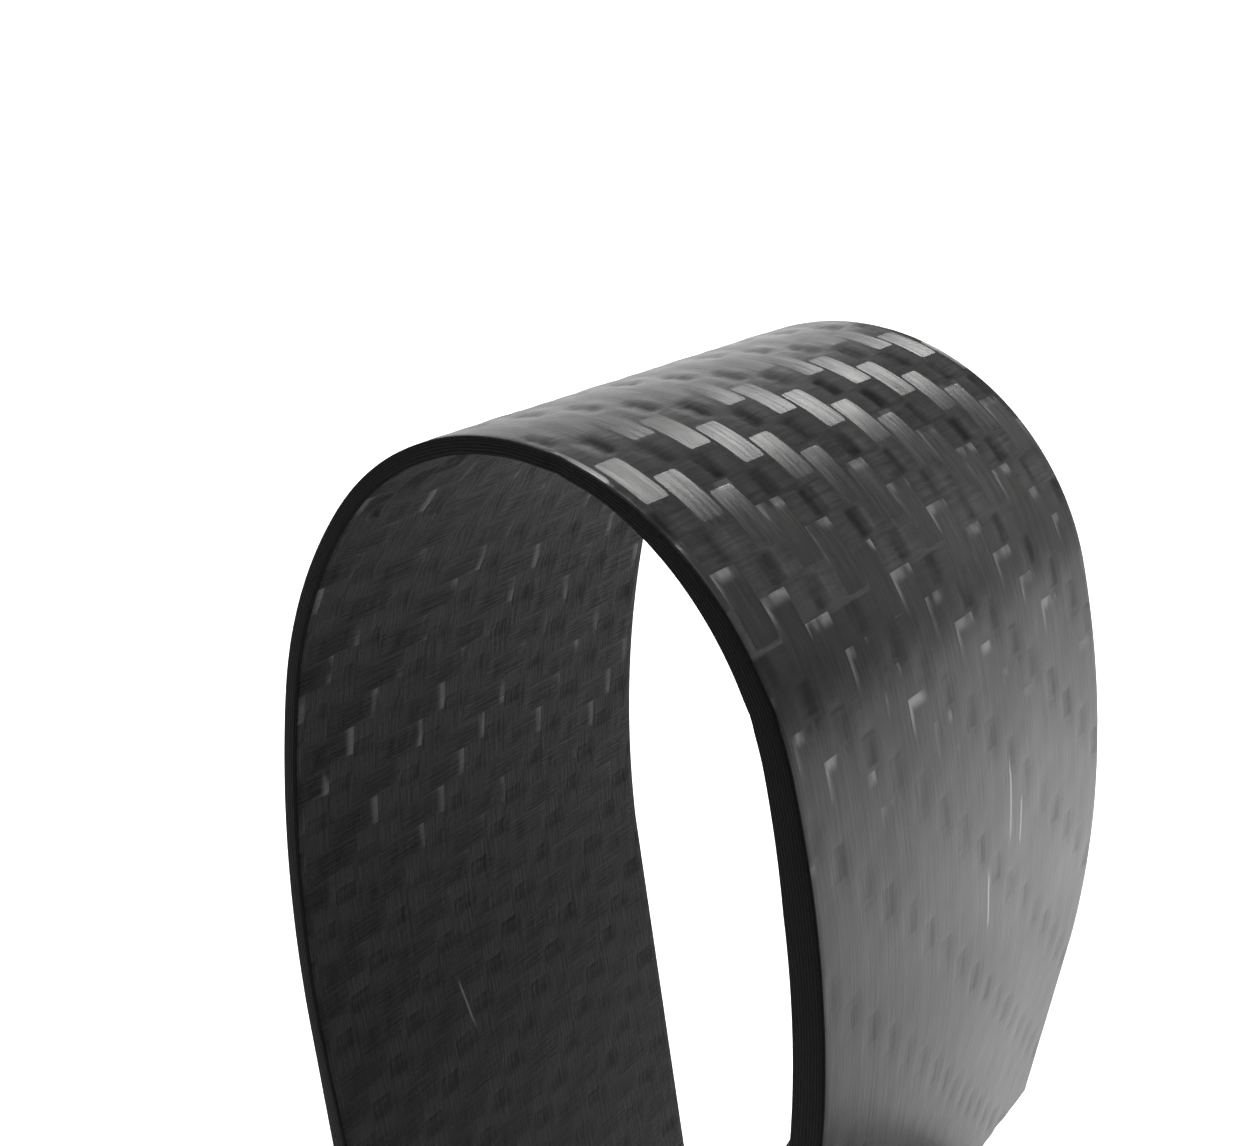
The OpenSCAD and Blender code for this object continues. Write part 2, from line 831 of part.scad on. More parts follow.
module pin_guide() {
    color([0.80, 0.80, 0.81])
        translate([0, 0, lock_top])
            difference() {
                union() {
                    translate([0, 0, eps]) cylinder(r = guide_r, h = guide_t - eps);
                    cylinder(r = boss_r - eps, h = guide_t + boss_h);
                }
                translate([0, 0, -cut])
                    cylinder(r = pin_r, h = guide_t + boss_h + 2 * cut);
                translate([0, 0, guide_t + boss_h - funnel_h])
                    cylinder(r1 = pin_r, r2 = 13, h = funnel_h + 0.01);
                translate([0, 0, -lock_top])
                    at_socket_screws(lock_top - cut)
                        cylinder(r = screw_r + 0.2, h = 20);
            }
}

module at_socket_screws(z) {
    for (a = socket_screw_angles)
        rotate([0, 0, a])
            translate([socket_screw_r, 0, z])
                children();
}

module socket_screws() {
    color([0.62, 0.62, 0.63])
        at_socket_screws(shell_z + shell_t)
            csk_screw(shell_t + guide_t + 12);
}

// ---- Socket ----
around = 44;
floor_r = 36;

// The brim rises to wings at the sides and dips behind the knee
function brim(a) =
    let (wing = pow(sin(a), 2), back = pow(max(0, -cos(a)), 2))
    brim_z - 26 * (1 - wing) - 18 * back;
function smooth(t) = t * t * (3 - 2 * t);
function bump(t, at, width) = exp(-pow((t - at) / width, 2));

// The socket's outer radius at angle a and height share t
function shell_r(a, t) =
    let (
        grow = floor_r + (brim_r - floor_r) * (0.55 * sqrt(t) + 0.45 * smooth(t)),
        front = pow(max(0, cos(a)), 6),
        crest = 3.5 * front * smooth(min(1, t * 1.6)) * (1 - smooth(max(0, t * 2 - 1))),
        tendon = 6 * front * bump(t, 0.8, 0.09),
        calf = 4 * pow(max(0, -cos(a)), 2) * bump(t, 0.5, 0.25),
        flat = 5 * pow(max(0, -cos(a)), 4) * bump(t, 0.95, 0.2),
        flare = 5 * bump(t, 1, 0.06)
    )
    grow + crest - tendon + calf - flat + flare;

// One ring of points at height share t, inset from the outer surface. All the skins share these
// heights, so that a skin's inset is also its clearance. The wall starts above the floor's chamfer.
chamfer = 3;
function shell_ring(t, inset, base_z, lift = 0) = [for (k = [0:around - 1])
    let (a = 360 * k / around, r = shell_r(a, t) - inset)
    [r * cos(a), r * sin(a), base_z + t * (brim(a) - base_z) + lift]];
function flat_ring(r, z) = [for (k = [0:around - 1])
    let (a = 360 * k / around) [r * cos(a), r * sin(a), z]];

// A closed skin through rings that are ordered up the outside and down the inside
module ring_skin(rings) {
    n = len(rings);
    points = [for (each_ring = rings, p = each_ring) p];
    faces = [for (i = [0:n - 1], k = [0:around - 1])
        let (j = (i + 1) % n, m = (k + 1) % around)
        each [[i * around + k, j * around + k, j * around + m],
              [i * around + k, j * around + m, i * around + m]]];
    polyhedron(points, faces, convexity = 8);
}

shell_steps = [for (i = [0:9]) pow(i / 9, 1.3)];
inner_z = shell_z + shell_t;
wall_z = inner_z + chamfer;

module socket_shell() {
    color([0.15, 0.15, 0.16])
        difference() {
            ring_skin(concat(
                [flat_ring(boss_r + 0.1, shell_z), flat_ring(floor_r - 5, shell_z)],
                [shell_ring(0, 0, shell_z + chamfer)],
                [for (t = shell_steps) shell_ring(t, 0, wall_z)],
                [for (t = flip(shell_steps)) shell_ring(t, shell_t, wall_z)],
                [flat_ring(floor_r - shell_t - 5, inner_z), flat_ring(boss_r + 0.1, inner_z)]
            ));
            at_socket_screws(inner_z)
                csk_hole(shell_t + cut);
        }
}

liner_gap = 0.4;
liner_rise = 9;

module inner_liner() {
    skin = shell_t + liner_gap;
    floor_z = inner_z + liner_gap;
    hole_r = boss_r + 3;
    color([0.80, 0.72, 0.62])
        ring_skin(concat(
            [flat_ring(hole_r, floor_z), flat_ring(floor_r - skin - 5.2, floor_z)],
            [for (t = shell_steps) shell_ring(t, skin, wall_z)],
            [shell_ring(1, skin, wall_z, liner_rise), shell_ring(1, skin + liner_t, wall_z, liner_rise)],
            [for (t = flip(shell_steps)) if (t > 0) shell_ring(t, skin + liner_t, wall_z)],
            [shell_ring(0, skin + liner_t, wall_z, liner_t)],
            [flat_ring(floor_r - skin - liner_t - 4, floor_z + liner_t),
             flat_ring(hole_r, floor_z + liner_t)]
        ));
}

blade();
heel_leaf();
heel_wedge();
heel_tread();
toe_tread();
keel_plate();
keel_bolts();
keel_nuts();
hanger_bracket();
bracket_screws();
limb_inserts();
pyramid_lower();
pyramid_lower_screws();
tube_clamp();
clamp_set_screws();
clamp_bolt();
inner_tube();
spring_seat();
shock_spring();
outer_sleeve();
sleeve_bushing();
wiper_ring();
torsion_spindle();
spindle_nut();
torsion_elastomer();
torsion_housing();
pyramid_receiver();
receiver_set_screws();
pyramid_upper();
pyramid_upper_screws();
lock_body();
lock_axle();
lock_gear();
lock_button();
button_clip();
lock_spring();
pin_guide();
socket_screws();
socket_shell();
inner_liner();
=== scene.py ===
"""Looks for a below-knee prosthetic leg with a hairpin-loop carbon blade foot.

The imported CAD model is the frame. Lengths named in millimetres are turned into metres by MM.
+X is forward, +Y is left and +Z is up.
"""

import json
import math

import bpy
import numpy as np
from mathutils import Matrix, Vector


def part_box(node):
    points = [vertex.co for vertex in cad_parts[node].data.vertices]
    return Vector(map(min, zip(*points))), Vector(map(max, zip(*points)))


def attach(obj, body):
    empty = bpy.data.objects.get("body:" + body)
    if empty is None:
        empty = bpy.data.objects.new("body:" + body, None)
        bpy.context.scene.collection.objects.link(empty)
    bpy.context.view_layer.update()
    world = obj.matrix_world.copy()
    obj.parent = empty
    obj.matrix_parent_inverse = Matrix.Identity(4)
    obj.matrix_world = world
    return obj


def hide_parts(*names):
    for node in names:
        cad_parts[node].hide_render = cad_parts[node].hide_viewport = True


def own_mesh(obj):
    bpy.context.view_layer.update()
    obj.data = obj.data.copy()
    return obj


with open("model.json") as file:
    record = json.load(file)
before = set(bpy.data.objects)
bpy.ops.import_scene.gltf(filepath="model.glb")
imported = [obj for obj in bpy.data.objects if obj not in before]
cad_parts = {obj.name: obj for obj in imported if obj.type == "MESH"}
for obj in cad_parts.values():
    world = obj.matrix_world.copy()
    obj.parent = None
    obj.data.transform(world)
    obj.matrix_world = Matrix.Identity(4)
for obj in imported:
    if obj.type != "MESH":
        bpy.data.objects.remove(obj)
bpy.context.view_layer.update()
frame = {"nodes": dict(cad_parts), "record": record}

MM = 0.001


# ---------------------------------------------------------------- lines and meshes


def box_mm(node):
    """A CAD node's lowest and highest corners, in millimetres."""
    low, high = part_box(node)
    return [v / MM for v in low], [v / MM for v in high]


class Line:
    """A chain of arcs and straights in x and z. A part is (length, turn in degrees)."""

    def __init__(self, x, z, heading, parts):
        self.stations = [(0.0, x, z, heading)]
        self.parts = parts
        for length, turn in parts:
            s, x, z, heading = self.stations[-1]
            x, z, heading = self.step(x, z, heading, length, turn)
            self.stations.append((s + length, x, z, heading))
        self.length = self.stations[-1][0]

    @staticmethod
    def step(x, z, heading, length, turn):
        """The place and heading after one arc or straight."""
        half = math.radians(turn) / 2
        chord = length if turn == 0 else length * math.sin(half) / half
        middle = math.radians(heading) + half
        return x + chord * math.cos(middle), z + chord * math.sin(middle), heading + turn

    def at(self, s):
        """(x, z, heading in degrees) at a distance along the line."""
        k = 0
        while k < len(self.parts) - 1 and s > self.stations[k + 1][0]:
            k += 1
        start, x, z, heading = self.stations[k]
        length, turn = self.parts[k]
        share = (s - start) / length
        return self.step(x, z, heading, length * share, turn * share)


def bend(radius, turn):
    """The (length, turn) part of an arc."""
    return radius * math.radians(abs(turn)), turn


def new_object(name, points, faces, materials, face_material=None, smooth=True):
    """A mesh object from points in millimetres."""
    mesh = bpy.data.meshes.new(name)
    mesh.from_pydata((np.asarray(points) * MM).tolist(), [], faces)
    for material in materials:
        mesh.materials.append(material)
    if face_material is not None:
        mesh.polygons.foreach_set("material_index", np.asarray(face_material, np.int32))
    mesh.polygons.foreach_set("use_smooth", np.full(len(mesh.polygons), smooth))
    if smooth:
        mesh.set_sharp_from_angle(angle=math.radians(50))
    mesh.update()
    obj = bpy.data.objects.new(name, mesh)
    bpy.context.scene.collection.objects.link(obj)
    return obj


def store(obj, name, kind, values):
    """A named attribute on an object's points."""
    attribute = obj.data.attributes.new(name, kind, "POINT")
    key = "vector" if kind == "FLOAT_VECTOR" else "value"
    attribute.data.foreach_set(key, np.asarray(values, np.float32).ravel())


def ring_faces(rings, around, loop=False):
    """Quads between rings of points, with flat ends or joined end to end."""
    faces = []
    for i in range(rings if loop else rings - 1):
        j = (i + 1) % rings
        for k in range(around):
            m = (k + 1) % around
            faces.append((i * around + k, j * around + k, j * around + m, i * around + m))
    if not loop:
        faces.append(tuple(range(around)))
        faces.append(tuple(range(rings * around - 1, (rings - 1) * around - 1, -1)))
    return faces


# ---------------------------------------------------------------- twill weave

TOW = 4.2  # pitch of the tows, in millimetres
REPEAT = 4  # tows in one repeat of the 2x2 twill
DIMPLE = 2.8  # depth of a dimple, against the height of a tow's crown


def smooth(t):
    return t * t * (3 - 2 * t)


def weave_height(s, y, face):
    """Relief of the twill, up to 1. face is 0 outside and 1 inside.

    Half of the floats have a dimple in the middle: the crosswise ones outside, the others inside.
    """
    u, v = s / TOW, y / TOW
    i, j = np.floor(u), np.floor(v)
    warp = np.mod(i + j + 2 * face, REPEAT) < 2
    across = np.where(warp, v - j, u - i)
    warp_run = np.mod(u + j + 2 * face, REPEAT)
    weft_run = np.mod(v + i + 2 * face, REPEAT) - 2
    run = np.sin(np.pi * np.clip(np.where(warp, warp_run, weft_run) / 2, 0, 1))
    crown = 1 - (2 * across - 1) ** 2
    dimple = smooth(np.clip(5 * run - 4, 0, 1)) * smooth(np.clip(1.6 * crown, 0, 1))
    dimple = np.where(warp == bool(face), dimple, 0)
    return crown * (0.25 + 0.75 * smooth(run)) - DIMPLE * dimple


# ---------------------------------------------------------------- node helpers


class Graph:
    """A node material. Its methods add a node and return the output that is used."""

    def __init__(self, name):
        self.material = bpy.data.materials.new(name)
        self.material.use_nodes = True
        self.tree = self.material.node_tree
        self.shader = self.tree.nodes["Principled BSDF"]

    def add(self, kind, inputs=(), **settings):
        node = self.tree.nodes.new(kind)
        for key, value in settings.items():
            setattr(node, key, value)
        for key, value in dict(inputs).items():
            self.put(node, key, value)
        return node

    def put(self, node, key, value):
        socket = node.inputs[key]
        if isinstance(value, bpy.types.NodeSocket):
            self.tree.links.new(value, socket)
        else:
            socket.default_value = value

    def set(self, **values):
        """Sets the shader's sockets. An underscore in a key stands for a space."""
        for key, value in values.items():
            self.put(self.shader, key.replace("_", " "), value)
        return self.material

    def math(self, operation, a, b=0.0, c=0.0):
        return self.add("ShaderNodeMath", {0: a, 1: b, 2: c}, operation=operation).outputs[0]

    def times(self, first, *others):
        """The product of two or more numbers."""
        for other in others:
            first = self.math("MULTIPLY", first, other)
        return first

    def rest(self, value):
        """What is left of 1."""
        return self.math("SUBTRACT", 1.0, value)

    def mix(self, share, a, b):
        """A mix of two numbers."""
        return self.add("ShaderNodeMix", {0: share, 2: a, 3: b}).outputs[0]

    def mix_color(self, share, a, b):
        node = self.add("ShaderNodeMix", data_type="RGBA")
        self.put(node, 0, share)
        self.put(node, 6, a)
        self.put(node, 7, b)
        return node.outputs[2]

    def mix_vector(self, share, a, b):
        node = self.add("ShaderNodeMix", data_type="VECTOR")
        self.put(node, 0, share)
        self.put(node, 4, a)
        self.put(node, 5, b)
        return node.outputs[1]

    def vector(self, x, y, z=0.0):
        return self.add("ShaderNodeCombineXYZ", {0: x, 1: y, 2: z}).outputs[0]

    def attribute(self, name, output="Vector"):
        return self.add("ShaderNodeAttribute", attribute_name=name).outputs[output]

    def place(self):
        """The point in the object's own space, in metres."""
        return self.add("ShaderNodeTexCoord").outputs["Object"]

    def noise(self, vector, scale, detail, rough=0.5):
        node = self.add("ShaderNodeTexNoise", {"Scale": scale, "Detail": detail, "Roughness": rough})
        self.put(node, "Vector", vector)
        return node.outputs["Fac"]

    def stretched(self, x, y, x_scale, y_scale, detail, rough=0.5):
        """Noise over (x, y), with its own scale along each."""
        return self.noise(self.vector(self.times(x, x_scale), self.times(y, y_scale)), 1.0, detail, rough)

    def cells(self, vector, scale):
        node = self.add("ShaderNodeTexVoronoi", {"Scale": scale})
        self.put(node, "Vector", vector)
        return node.outputs["Distance"]

    def scaled(self, vector, x, y, z):
        node = self.add("ShaderNodeMapping", {"Scale": (x, y, z)})
        self.put(node, "Vector", vector)
        return node.outputs[0]

    def ramp(self, value, low, high, out_low=0.0, out_high=1.0):
        """A smooth step of value from low to high."""
        inputs = {0: value, 1: low, 2: high, 3: out_low, 4: out_high}
        return self.add("ShaderNodeMapRange", inputs, interpolation_type="SMOOTHSTEP").outputs[0]

    def bump(self, height, distance, strength=1.0):
        node = self.add("ShaderNodeBump", {"Strength": strength, "Distance": distance})
        self.put(node, "Height", height)
        return node.outputs[0]


def gray(value, warm=0.0):
    return (value * (1 + warm), value, value * (1 - warm), 1.0)


# ---------------------------------------------------------------- materials


def weave_nodes(g, s, y, face):
    """The twill's masks: (1 where a lengthwise tow is on top, crown across a tow, run of a float)."""
    u = g.math("DIVIDE", s, TOW)
    v = g.math("DIVIDE", y, TOW)
    i = g.math("FLOOR", u)
    j = g.math("FLOOR", v)
    flip = g.times(face, 2.0)
    order = g.math("FLOORED_MODULO", g.math("ADD", g.math("ADD", i, j), flip), REPEAT)
    warp = g.math("LESS_THAN", order, 1.5)
    across = g.mix(warp, g.math("FRACT", u), g.math("FRACT", v))
    warp_run = g.math("FLOORED_MODULO", g.math("ADD", g.math("ADD", u, j), flip), REPEAT)
    weft_run = g.math("FLOORED_MODULO", g.math("ADD", g.math("ADD", v, i), flip), REPEAT)
    along = g.mix(warp, g.times(g.math("SUBTRACT", weft_run, 2.0), 0.5), g.times(warp_run, 0.5))
    centred = g.math("MULTIPLY_ADD", across, 2.0, -1.0)
    crown = g.rest(g.times(centred, centred))
    run = g.math("SINE", g.times(along, math.pi))
    return warp, crown, run


def fibre_noise(g, s, y, warp):
    """Streaks along the fibres of whichever tow is on top."""
    lengthwise = g.stretched(s, y, 0.11, 1.9, 5.0, 0.68)
    crosswise = g.stretched(s, y, 1.9, 0.11, 5.0, 0.68)
    return g.mix(warp, crosswise, lengthwise)


class Twill:
    """The masks of a woven face, on a piece that stores band = (along, across, face) in millimetres.

    shows is how plainly the twill shows: a number, or None to read it from the piece.
    """

    def __init__(self, g, shows):
        band = g.add("ShaderNodeSeparateXYZ", {0: g.attribute("band")})
        self.s, self.y, self.face = band.outputs[0], band.outputs[1], band.outputs[2]
        self.shows = g.attribute("clear", "Fac") if shows is None else shows
        self.warp, self.crown, self.run = weave_nodes(g, self.s, self.y, self.face)
        self.over = g.mix(self.face, self.warp, g.rest(self.warp))
        self.body = g.times(g.ramp(self.crown, 0.0, 0.5), g.ramp(self.run, 0.0, 0.6))
        self.dimple = g.times(g.ramp(self.run, 0.8, 1.0), g.ramp(self.crown, 0.0, 0.6), g.rest(self.over))
        self.fibres = fibre_noise(g, self.s, self.y, g.mix(self.shows, 1.0, self.warp))
        self.patches = g.stretched(self.s, self.y, 0.11, 0.3, 3.0)


def twill_tone(g, w, weave_shade, painted_edge_shade):
    """How pale the laminate is, from 0 to about 1, with painted shade between the tows, in the dimples,
    on the hollows or floats and toward the right-hand edge.
    """
    # Painted shade between the tows and at the ends of the floats
    groove_shade = g.times(g.rest(w.body), g.times(w.shows, 0.2))
    # Painted shade in the dimples, in patches
    dimple_shade = g.times(w.dimple, g.ramp(w.patches, 0.35, 0.65, 0.15, 1.0))
    dimple_shade = g.times(dimple_shade, g.math("MULTIPLY_ADD", w.shows, 0.45, 0.45))
    cloud = g.stretched(w.s, w.y, 0.05, 0.09, 2.0)
    # Painted shade toward the right-hand edge, weaker where the twill shows plainly
    shade = g.times(g.math("MULTIPLY_ADD", w.shows, -0.5, 1.0), g.ramp(w.y, 25.0, -40.0, 0.0, painted_edge_shade))
    # Painted shade on the weave: the hollows darker than the floats, or the floats darker when the amount
    # is below 0
    oval = g.times(w.over, g.times(g.ramp(w.crown, 0.05, 0.8), g.ramp(w.run, 0.1, 0.9)))
    dim = g.math("MULTIPLY_ADD", w.shows, -abs(weave_shade), 1.0)
    return g.times(
        g.ramp(w.fibres, 0.3, 0.7, 0.55, 1.0),
        g.rest(groove_shade),
        g.rest(dimple_shade),
        g.ramp(cloud, 0.3, 0.7, 0.85, 1.1),
        g.rest(shade),
        g.mix(oval, dim, 1.0) if weave_shade > 0 else g.mix(oval, 1.0, dim),
    )


def float_end_highlight_nodes(g, w):
    """Painted highlights: pale crescents on the far or upper end of the floats, in patches."""
    u = g.math("DIVIDE", w.s, TOW)
    v = g.math("DIVIDE", w.y, TOW)
    warp_run = g.math("FLOORED_MODULO", g.math("ADD", u, g.math("FLOOR", v)), REPEAT)
    weft_run = g.math("FLOORED_MODULO", g.math("ADD", v, g.math("FLOOR", u)), REPEAT)
    along = g.times(g.mix(w.face, warp_run, weft_run), 0.5)
    aside = g.mix(w.face, g.math("FRACT", v), g.rest(g.math("FRACT", u)))
    end = g.ramp(along, 0.8, 0.95)
    side = g.times(g.ramp(aside, 0.2, 0.04), g.ramp(along, 0.35, 0.9), g.mix(w.face, 1.0, 0.3))
    front = g.times(g.ramp(w.s, -60.0, -44.0), g.ramp(w.s, -12.0, -24.0))
    back = g.times(g.ramp(w.s, -20.0, 10.0), g.ramp(w.s, 110.0, 70.0))
    zone = g.mix(w.face, front, back)
    return g.times(g.math("MAXIMUM", end, side), w.over, zone, g.ramp(w.patches, 0.42, 0.62))


# (place along, place across, half the length, lean) of each scratch
SCRATCHES = [
    (-66.4, 8.0, 6.0, 0.06),
    (-76.5, 2.0, 4.5, -0.05),
    (-70.0, 10.6, 3.5, 0.1),
    (120.0, -9.0, 5.0, 0.2),
]


def scratch_nodes(g, w):
    """Fine lengthwise scratches."""
    found = 0.0
    for place, aside, half, lean in SCRATCHES:
        along = g.math("SUBTRACT", w.s, place)
        off = g.math("SUBTRACT", g.math("MULTIPLY_ADD", along, -lean, w.y), aside)
        thin = g.ramp(g.math("ABSOLUTE", off), 0.28, 0.08)
        short = g.ramp(g.math("ABSOLUTE", along), half, half * 0.5)
        found = g.math("MAXIMUM", found, g.times(thin, short))
    return found


def fibre_tangent(g, w):
    """The direction that sets how highlights stretch: it turns where a lengthwise tow is on top."""
    along = g.attribute("along")
    normal = g.add("ShaderNodeNewGeometry").outputs["Normal"]
    across = g.add("ShaderNodeVectorMath", {0: normal, 1: along}, operation="CROSS_PRODUCT").outputs[0]
    lengthwise = g.mix(w.shows, 1.0, g.times(w.warp, w.body))
    return g.mix_vector(g.math("GREATER_THAN", lengthwise, 0.4), along, across)


def twill_relief(g, w):
    """The height for bumps: crowned tows with dimples, and fine fibres over them."""
    height = g.times(w.crown, g.math("MULTIPLY_ADD", g.ramp(w.run, 0.0, 0.7), 0.7, 0.3))
    height = g.times(height, g.math("MULTIPLY_ADD", w.shows, 0.75, 0.25))
    height = g.math("MULTIPLY_ADD", w.dimple, -1.2, height)
    height = g.times(height, g.ramp(w.patches, 0.3, 0.6, 0.35, 1.0))
    return g.math("MULTIPLY_ADD", w.fibres, 1.6, height)


def carbon(name, dark=0.008, light=0.118, rough=0.45, coat=0.15, coat_rough=0.28, relief=0.00006,
           metal=0.9, ior=1.5, weave_shade=0.0, highlight_and_scratch_gray=0.0, clear=None, painted_edge_shade=0.0):
    """Twill laminate.

    clear is how plainly the twill shows: a number, or None to read it from the piece.
    weave_shade is how much painted shade darkens the hollows against the floats, or the floats against
    the hollows if it is below 0.
    highlight_and_scratch_gray is the gray of the painted highlights at the float ends and of the real
    scratches, or 0 for none.
    painted_edge_shade is how much painted shade darkens the laminate toward its right-hand edge.
    """
    g = Graph(name)
    twill = Twill(g, clear)
    color = g.mix_color(twill_tone(g, twill, weave_shade, painted_edge_shade), gray(dark), gray(light, 0.01))
    if highlight_and_scratch_gray:
        # Painted highlights at the float ends, together with the real scratches
        marks = g.math("MAXIMUM", float_end_highlight_nodes(g, twill), scratch_nodes(g, twill))
        color = g.mix_color(marks, color, gray(highlight_and_scratch_gray))
    return g.set(
        Base_Color=color,
        Metallic=metal,
        IOR=ior,
        Roughness=g.ramp(twill.fibres, 0.2, 0.8, rough - 0.05, rough + 0.08),
        Anisotropic=0.85,
        Tangent=fibre_tangent(g, twill),
        Coat_Weight=coat,
        Coat_Roughness=coat_rough,
        Normal=g.bump(twill_relief(g, twill), relief),
    )


def ply_edge():
    """The cut edge of the laminate: dark layers with a little sparkle along them."""
    g = Graph("ply_edge")
    band = g.add("ShaderNodeSeparateXYZ", {0: g.attribute("band")})
    depth = g.attribute("depth", "Fac")
    s = band.outputs[0]
    wobble = g.stretched(s, depth, 0.25, 1.0, 2.0)
    layers = g.math("SINE", g.times(g.math("ADD", depth, g.times(wobble, 0.25)), 18.0))
    grain = g.stretched(s, depth, 1.6, 7.0, 5.0, 0.7)
    tone = g.times(g.ramp(layers, -0.6, 0.9, 0.35, 1.0), g.ramp(grain, 0.35, 0.7, 0.3, 1.0))
    height = g.math("MULTIPLY_ADD", layers, 0.3, grain)
    return g.set(
        Base_Color=g.mix_color(tone, gray(0.001), gray(0.009)),
        Roughness=0.55,
        Specular_IOR_Level=0.03,
        Normal=g.bump(height, 0.00008),
    )


def leaf_carbon():
    """Unidirectional laminate for the heel leaf: long fine fibres along x."""
    g = Graph("leaf_carbon")
    place = g.place()
    fibres = g.noise(g.scaled(place, 40.0, 2600.0, 400.0), 1.0, 4.0, 0.6)
    cloud = g.noise(g.scaled(place, 30.0, 60.0, 30.0), 1.0, 2.0)
    tone = g.times(g.ramp(fibres, 0.3, 0.7, 0.35, 1.0), g.ramp(cloud, 0.3, 0.7, 0.8, 1.1))
    return g.set(
        Base_Color=g.mix_color(tone, gray(0.02), gray(0.11)),
        Metallic=0.6,
        Roughness=g.ramp(fibres, 0.2, 0.8, 0.34, 0.46),
        Coat_Weight=0.2,
        Coat_Roughness=0.25,
        Normal=g.bump(fibres, 0.00006),
    )


def blasted(name, color, rough=0.42):
    """Bead-blasted or anodised metal with faint handling marks."""
    g = Graph(name)
    place = g.place()
    grit = g.noise(place, 5200.0, 2.0)
    marks = g.noise(g.scaled(place, 90.0, 90.0, 240.0), 1.0, 5.0, 0.65)
    worn = tuple(min(1.0, c * 1.2 + 0.008) for c in color[:3]) + (1.0,)
    return g.set(
        Base_Color=g.mix_color(g.ramp(marks, 0.45, 0.75), color, worn),
        Metallic=1.0,
        Roughness=g.ramp(marks, 0.3, 0.75, rough - 0.06, rough + 0.1),
        Normal=g.bump(grit, 0.00003, 0.6),
    )


def turned(name, color, rough=0.26):
    """Lathe-turned metal: fine rings about the vertical axis."""
    g = Graph(name)
    place = g.place()
    rings = g.noise(g.scaled(place, 6.0, 6.0, 5200.0), 1.0, 2.0)
    smears = g.noise(g.scaled(place, 60.0, 60.0, 60.0), 1.0, 4.0)
    darker = tuple(c * 0.72 for c in color[:3]) + (1.0,)
    return g.set(
        Base_Color=g.mix_color(g.ramp(smears, 0.35, 0.7), darker, color),
        Metallic=1.0,
        Roughness=g.ramp(smears, 0.3, 0.7, rough, rough + 0.14),
        Normal=g.bump(rings, 0.00002, 0.7),
    )


def wire_steel():
    """Bright drawn spring wire with a light film of oil."""
    g = Graph("wire_steel")
    place = g.place()
    film = g.noise(g.scaled(place, 220.0, 220.0, 220.0), 1.0, 4.0)
    return g.set(
        Base_Color=g.mix_color(film, gray(0.4), gray(0.56)),
        Metallic=1.0,
        Roughness=g.ramp(film, 0.3, 0.7, 0.28, 0.4),
    )


def rubber(name, color, rough=0.72):
    """Moulded rubber with a pebbled skin and pale dust in its hollows."""
    g = Graph(name)
    place = g.place()
    pebbles = g.cells(place, 1900.0)
    dust = g.noise(place, 140.0, 5.0, 0.6)
    dusty = tuple(0.75 * c + 0.045 for c in color[:3]) + (1.0,)
    return g.set(
        Base_Color=g.mix_color(g.ramp(dust, 0.5, 0.72), color, dusty),
        Roughness=g.ramp(dust, 0.3, 0.7, rough - 0.06, rough + 0.14),
        Specular_IOR_Level=0.35,
        Normal=g.bump(pebbles, 0.00006, 0.7),
    )


def foam(name, color):
    """Closed-cell foam with fine pores and a slightly mottled colour."""
    g = Graph(name)
    place = g.place()
    pores = g.cells(place, 1500.0)
    mottle = g.noise(place, 60.0, 4.0)
    darker = tuple(c * 0.82 for c in color[:3]) + (1.0,)
    return g.set(
        Base_Color=g.mix_color(g.ramp(mottle, 0.3, 0.7), darker, color),
        Roughness=0.85,
        Sheen_Weight=0.25,
        Specular_IOR_Level=0.3,
        Normal=g.bump(pores, 0.0001, 0.8),
    )


MATERIALS = {
    "carbon": carbon("carbon_twill", highlight_and_scratch_gray=0.26, painted_edge_shade=0.66),
    # The inner face: the outer face's laminate with painted shade, its colours much darker
    "carbon_inner_painted_shade": carbon(
        "carbon_inner_painted_shade", dark=0.001, light=0.017, rough=0.44, coat=0.01, coat_rough=0.3, relief=0.0003,
        metal=0.3, ior=1.18, weave_shade=-0.75, highlight_and_scratch_gray=0.09, painted_edge_shade=0.6,
    ),
    "carbon_socket": carbon(
        "carbon_socket", dark=0.01, light=0.12, rough=0.38, coat=0.6, coat_rough=0.2, relief=0.00003,
        weave_shade=0.5, clear=1.0,
    ),
    "ply_edge": ply_edge(),
    "leaf_carbon": leaf_carbon(),
    "aluminium": blasted("aluminium_blasted", gray(0.34)),
    "black_anodised": blasted("black_anodised", gray(0.035), 0.36),
    "black_steel": blasted("black_oxide", gray(0.03), 0.4),
    "button_red": blasted("red_anodised", (0.42, 0.03, 0.025, 1.0), 0.32),
    "titanium": turned("titanium_turned", (0.47, 0.45, 0.43, 1.0)),
    "steel": turned("steel_turned", gray(0.6)),
    "bronze": turned("bronze_turned", (0.5, 0.34, 0.17, 1.0), 0.34),
    "brass": turned("brass_turned", (0.72, 0.52, 0.22, 1.0)),
    "spring_steel": wire_steel(),
    "black_plastic": rubber("acetal_black", gray(0.02), 0.42),
    "rubber": rubber("rubber_black", gray(0.018)),
    "elastomer": rubber("elastomer_red", (0.33, 0.05, 0.04, 1.0), 0.5),
    "foam": foam("foam_grey", (0.42, 0.40, 0.37, 1.0)),
    "liner": foam("foam_liner", (0.46, 0.37, 0.28, 1.0)),
}


# ---------------------------------------------------------------- the blade's line

